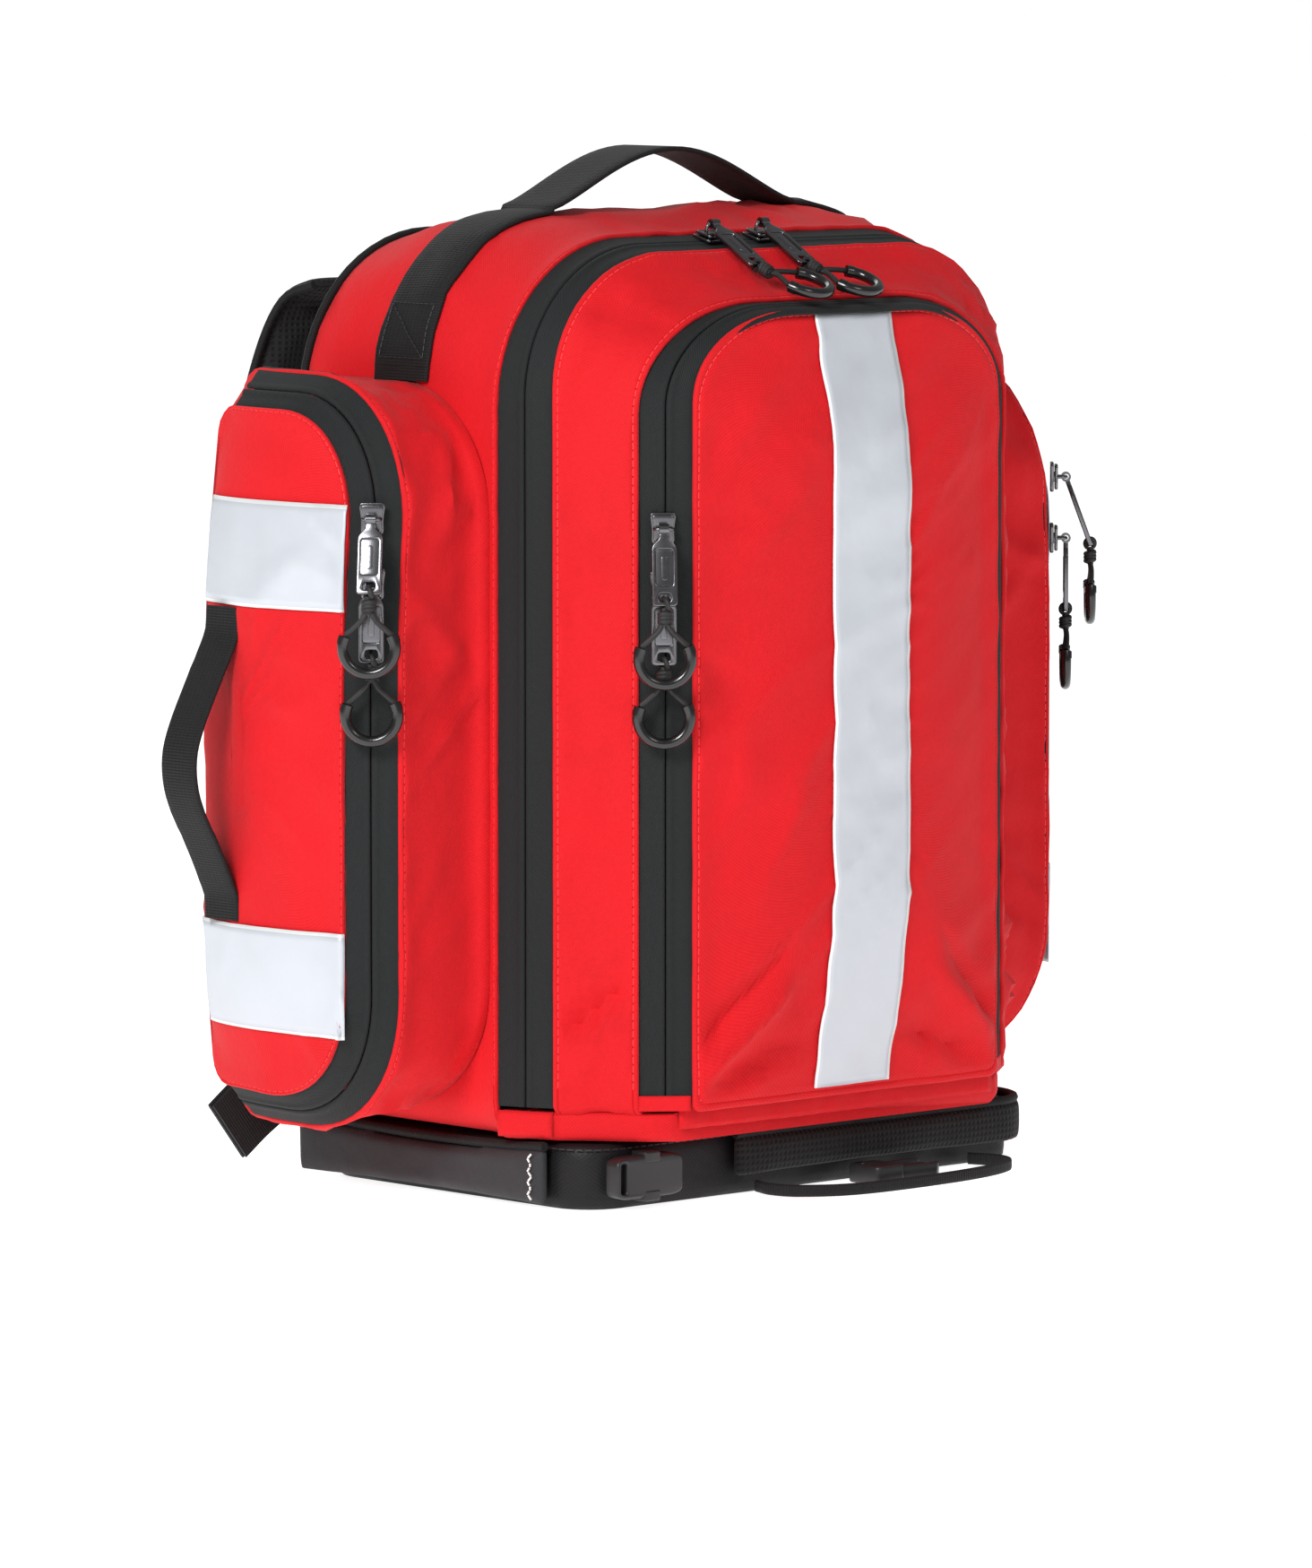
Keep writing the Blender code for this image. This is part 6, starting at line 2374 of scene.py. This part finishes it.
# ---- studio --------------------------------------------------------------------------
@dataclass
class Studio:
    """A pale floor, soft light and the camera."""

    azimuth: float = -43.0
    elevation: float = 5.5
    distance: float = 4.6
    lens: float = 217.77
    target: Place = (-0.0652, -0.057, 0.1985)
    room_light: float = 0.24

    def build(self) -> None:
        """Sets up the scene."""
        scene = bpy.context.scene
        scene.view_settings.view_transform = "Standard"
        a, e = math.radians(self.azimuth), math.radians(self.elevation)
        back = Vector((math.sin(a) * math.cos(e), -math.cos(a) * math.cos(e), math.sin(e)))
        data = bpy.data.cameras.new("camera")
        data.lens, data.sensor_width = self.lens, 36.0
        data.clip_end = 60.0
        camera = bpy.data.objects.new("camera", data)
        scene.collection.objects.link(camera)
        camera.location = Vector(self.target) + back * self.distance
        camera.rotation_euler = (-back).to_track_quat("-Z", "Y").to_euler()
        scene.camera = camera
        self.build_floor()
        self.build_lights()

    def build_floor(self) -> None:
        """The plain floor under a plain white room."""
        shape = bmesh.new()
        bmesh.ops.create_grid(shape, x_segments=1, y_segments=1, size=14.0)
        mesh = bpy.data.meshes.new("floor")
        shape.to_mesh(mesh)
        shape.free()
        graph = Graph("floor")
        graph.set(Base_Color=(0.86, 0.86, 0.86, 1.0), Roughness=0.9, Specular_IOR_Level=0.0,
                  Emission_Color=(1.0, 1.0, 1.0, 1.0), Emission_Strength=0.88)
        mesh.materials.append(graph.material)
        floor = bpy.data.objects.new("floor", mesh)
        bpy.context.scene.collection.objects.link(floor)
        world = bpy.data.worlds.new("room")
        world.use_nodes = True
        self.light_room(world.node_tree)
        bpy.context.scene.world = world

    def light_room(self, tree: bpy.types.NodeTree) -> None:
        """Makes the room's walls white, and the light from them weaker than they look.

        Args:
            tree: The world's node tree.
        """
        background, output = tree.nodes["Background"], tree.nodes["World Output"]
        background.inputs[0].default_value = (1.0, 1.0, 1.0, 1.0)
        background.inputs[1].default_value = self.room_light
        wall = tree.nodes.new("ShaderNodeBackground")
        wall.inputs[0].default_value = (1.0, 1.0, 1.0, 1.0)
        path, mix = tree.nodes.new("ShaderNodeLightPath"), tree.nodes.new("ShaderNodeMixShader")
        tree.links.new(path.outputs["Is Camera Ray"], mix.inputs[0])
        tree.links.new(background.outputs[0], mix.inputs[1])
        tree.links.new(wall.outputs[0], mix.inputs[2])
        tree.links.new(mix.outputs[0], output.inputs["Surface"])

    def build_lights(self) -> None:
        """A large key from the left and above, a weak fill in front and one behind."""
        lights = (
            ("key", (-2.5, -0.9, 1.9), 0.9, 68.0),
            ("front", (-0.5, -3.0, 2.4), 0.9, 15.0),
            ("back", (0.9, 2.3, 2.2), 1.6, 18.0),
        )
        for name, place, size, power in lights:
            data = bpy.data.lights.new(name, "AREA")
            data.size, data.energy = size, power
            lamp = bpy.data.objects.new(name, data)
            lamp.location = place
            lamp.rotation_euler = (Vector((0, 0, 0.2)) - Vector(place)).to_track_quat("-Z", "Y").to_euler()
            bpy.context.scene.collection.objects.link(lamp)


def dress_frame_sheet() -> None:
    """Gives the stiffening sheet, which keeps its own shape, its finish."""
    holder = bpy.data.objects.get("frame_sheet")
    holder.data.materials.clear()
    holder.data.materials.append(WARDROBE["board"])


def main() -> None:
    """Builds the pack piece by piece."""
    logging.basicConfig(level=logging.INFO, format="%(message)s")
    Studio().build()
    shell = MainCompartment().build()
    MainLid().build()
    FrontFlap().build()
    FrontZips().build()
    for side in (-1, 1):
        SidePocket(side).build()
    build_sliders()
    CarryHandle().build(shell)
    Boot().build()
    BackPanel().build()
    for side in (-1, 1):
        ShoulderStrap(side).build()
    HipBelt().build()
    dress_frame_sheet()


if __name__ == "__main__":
    main()
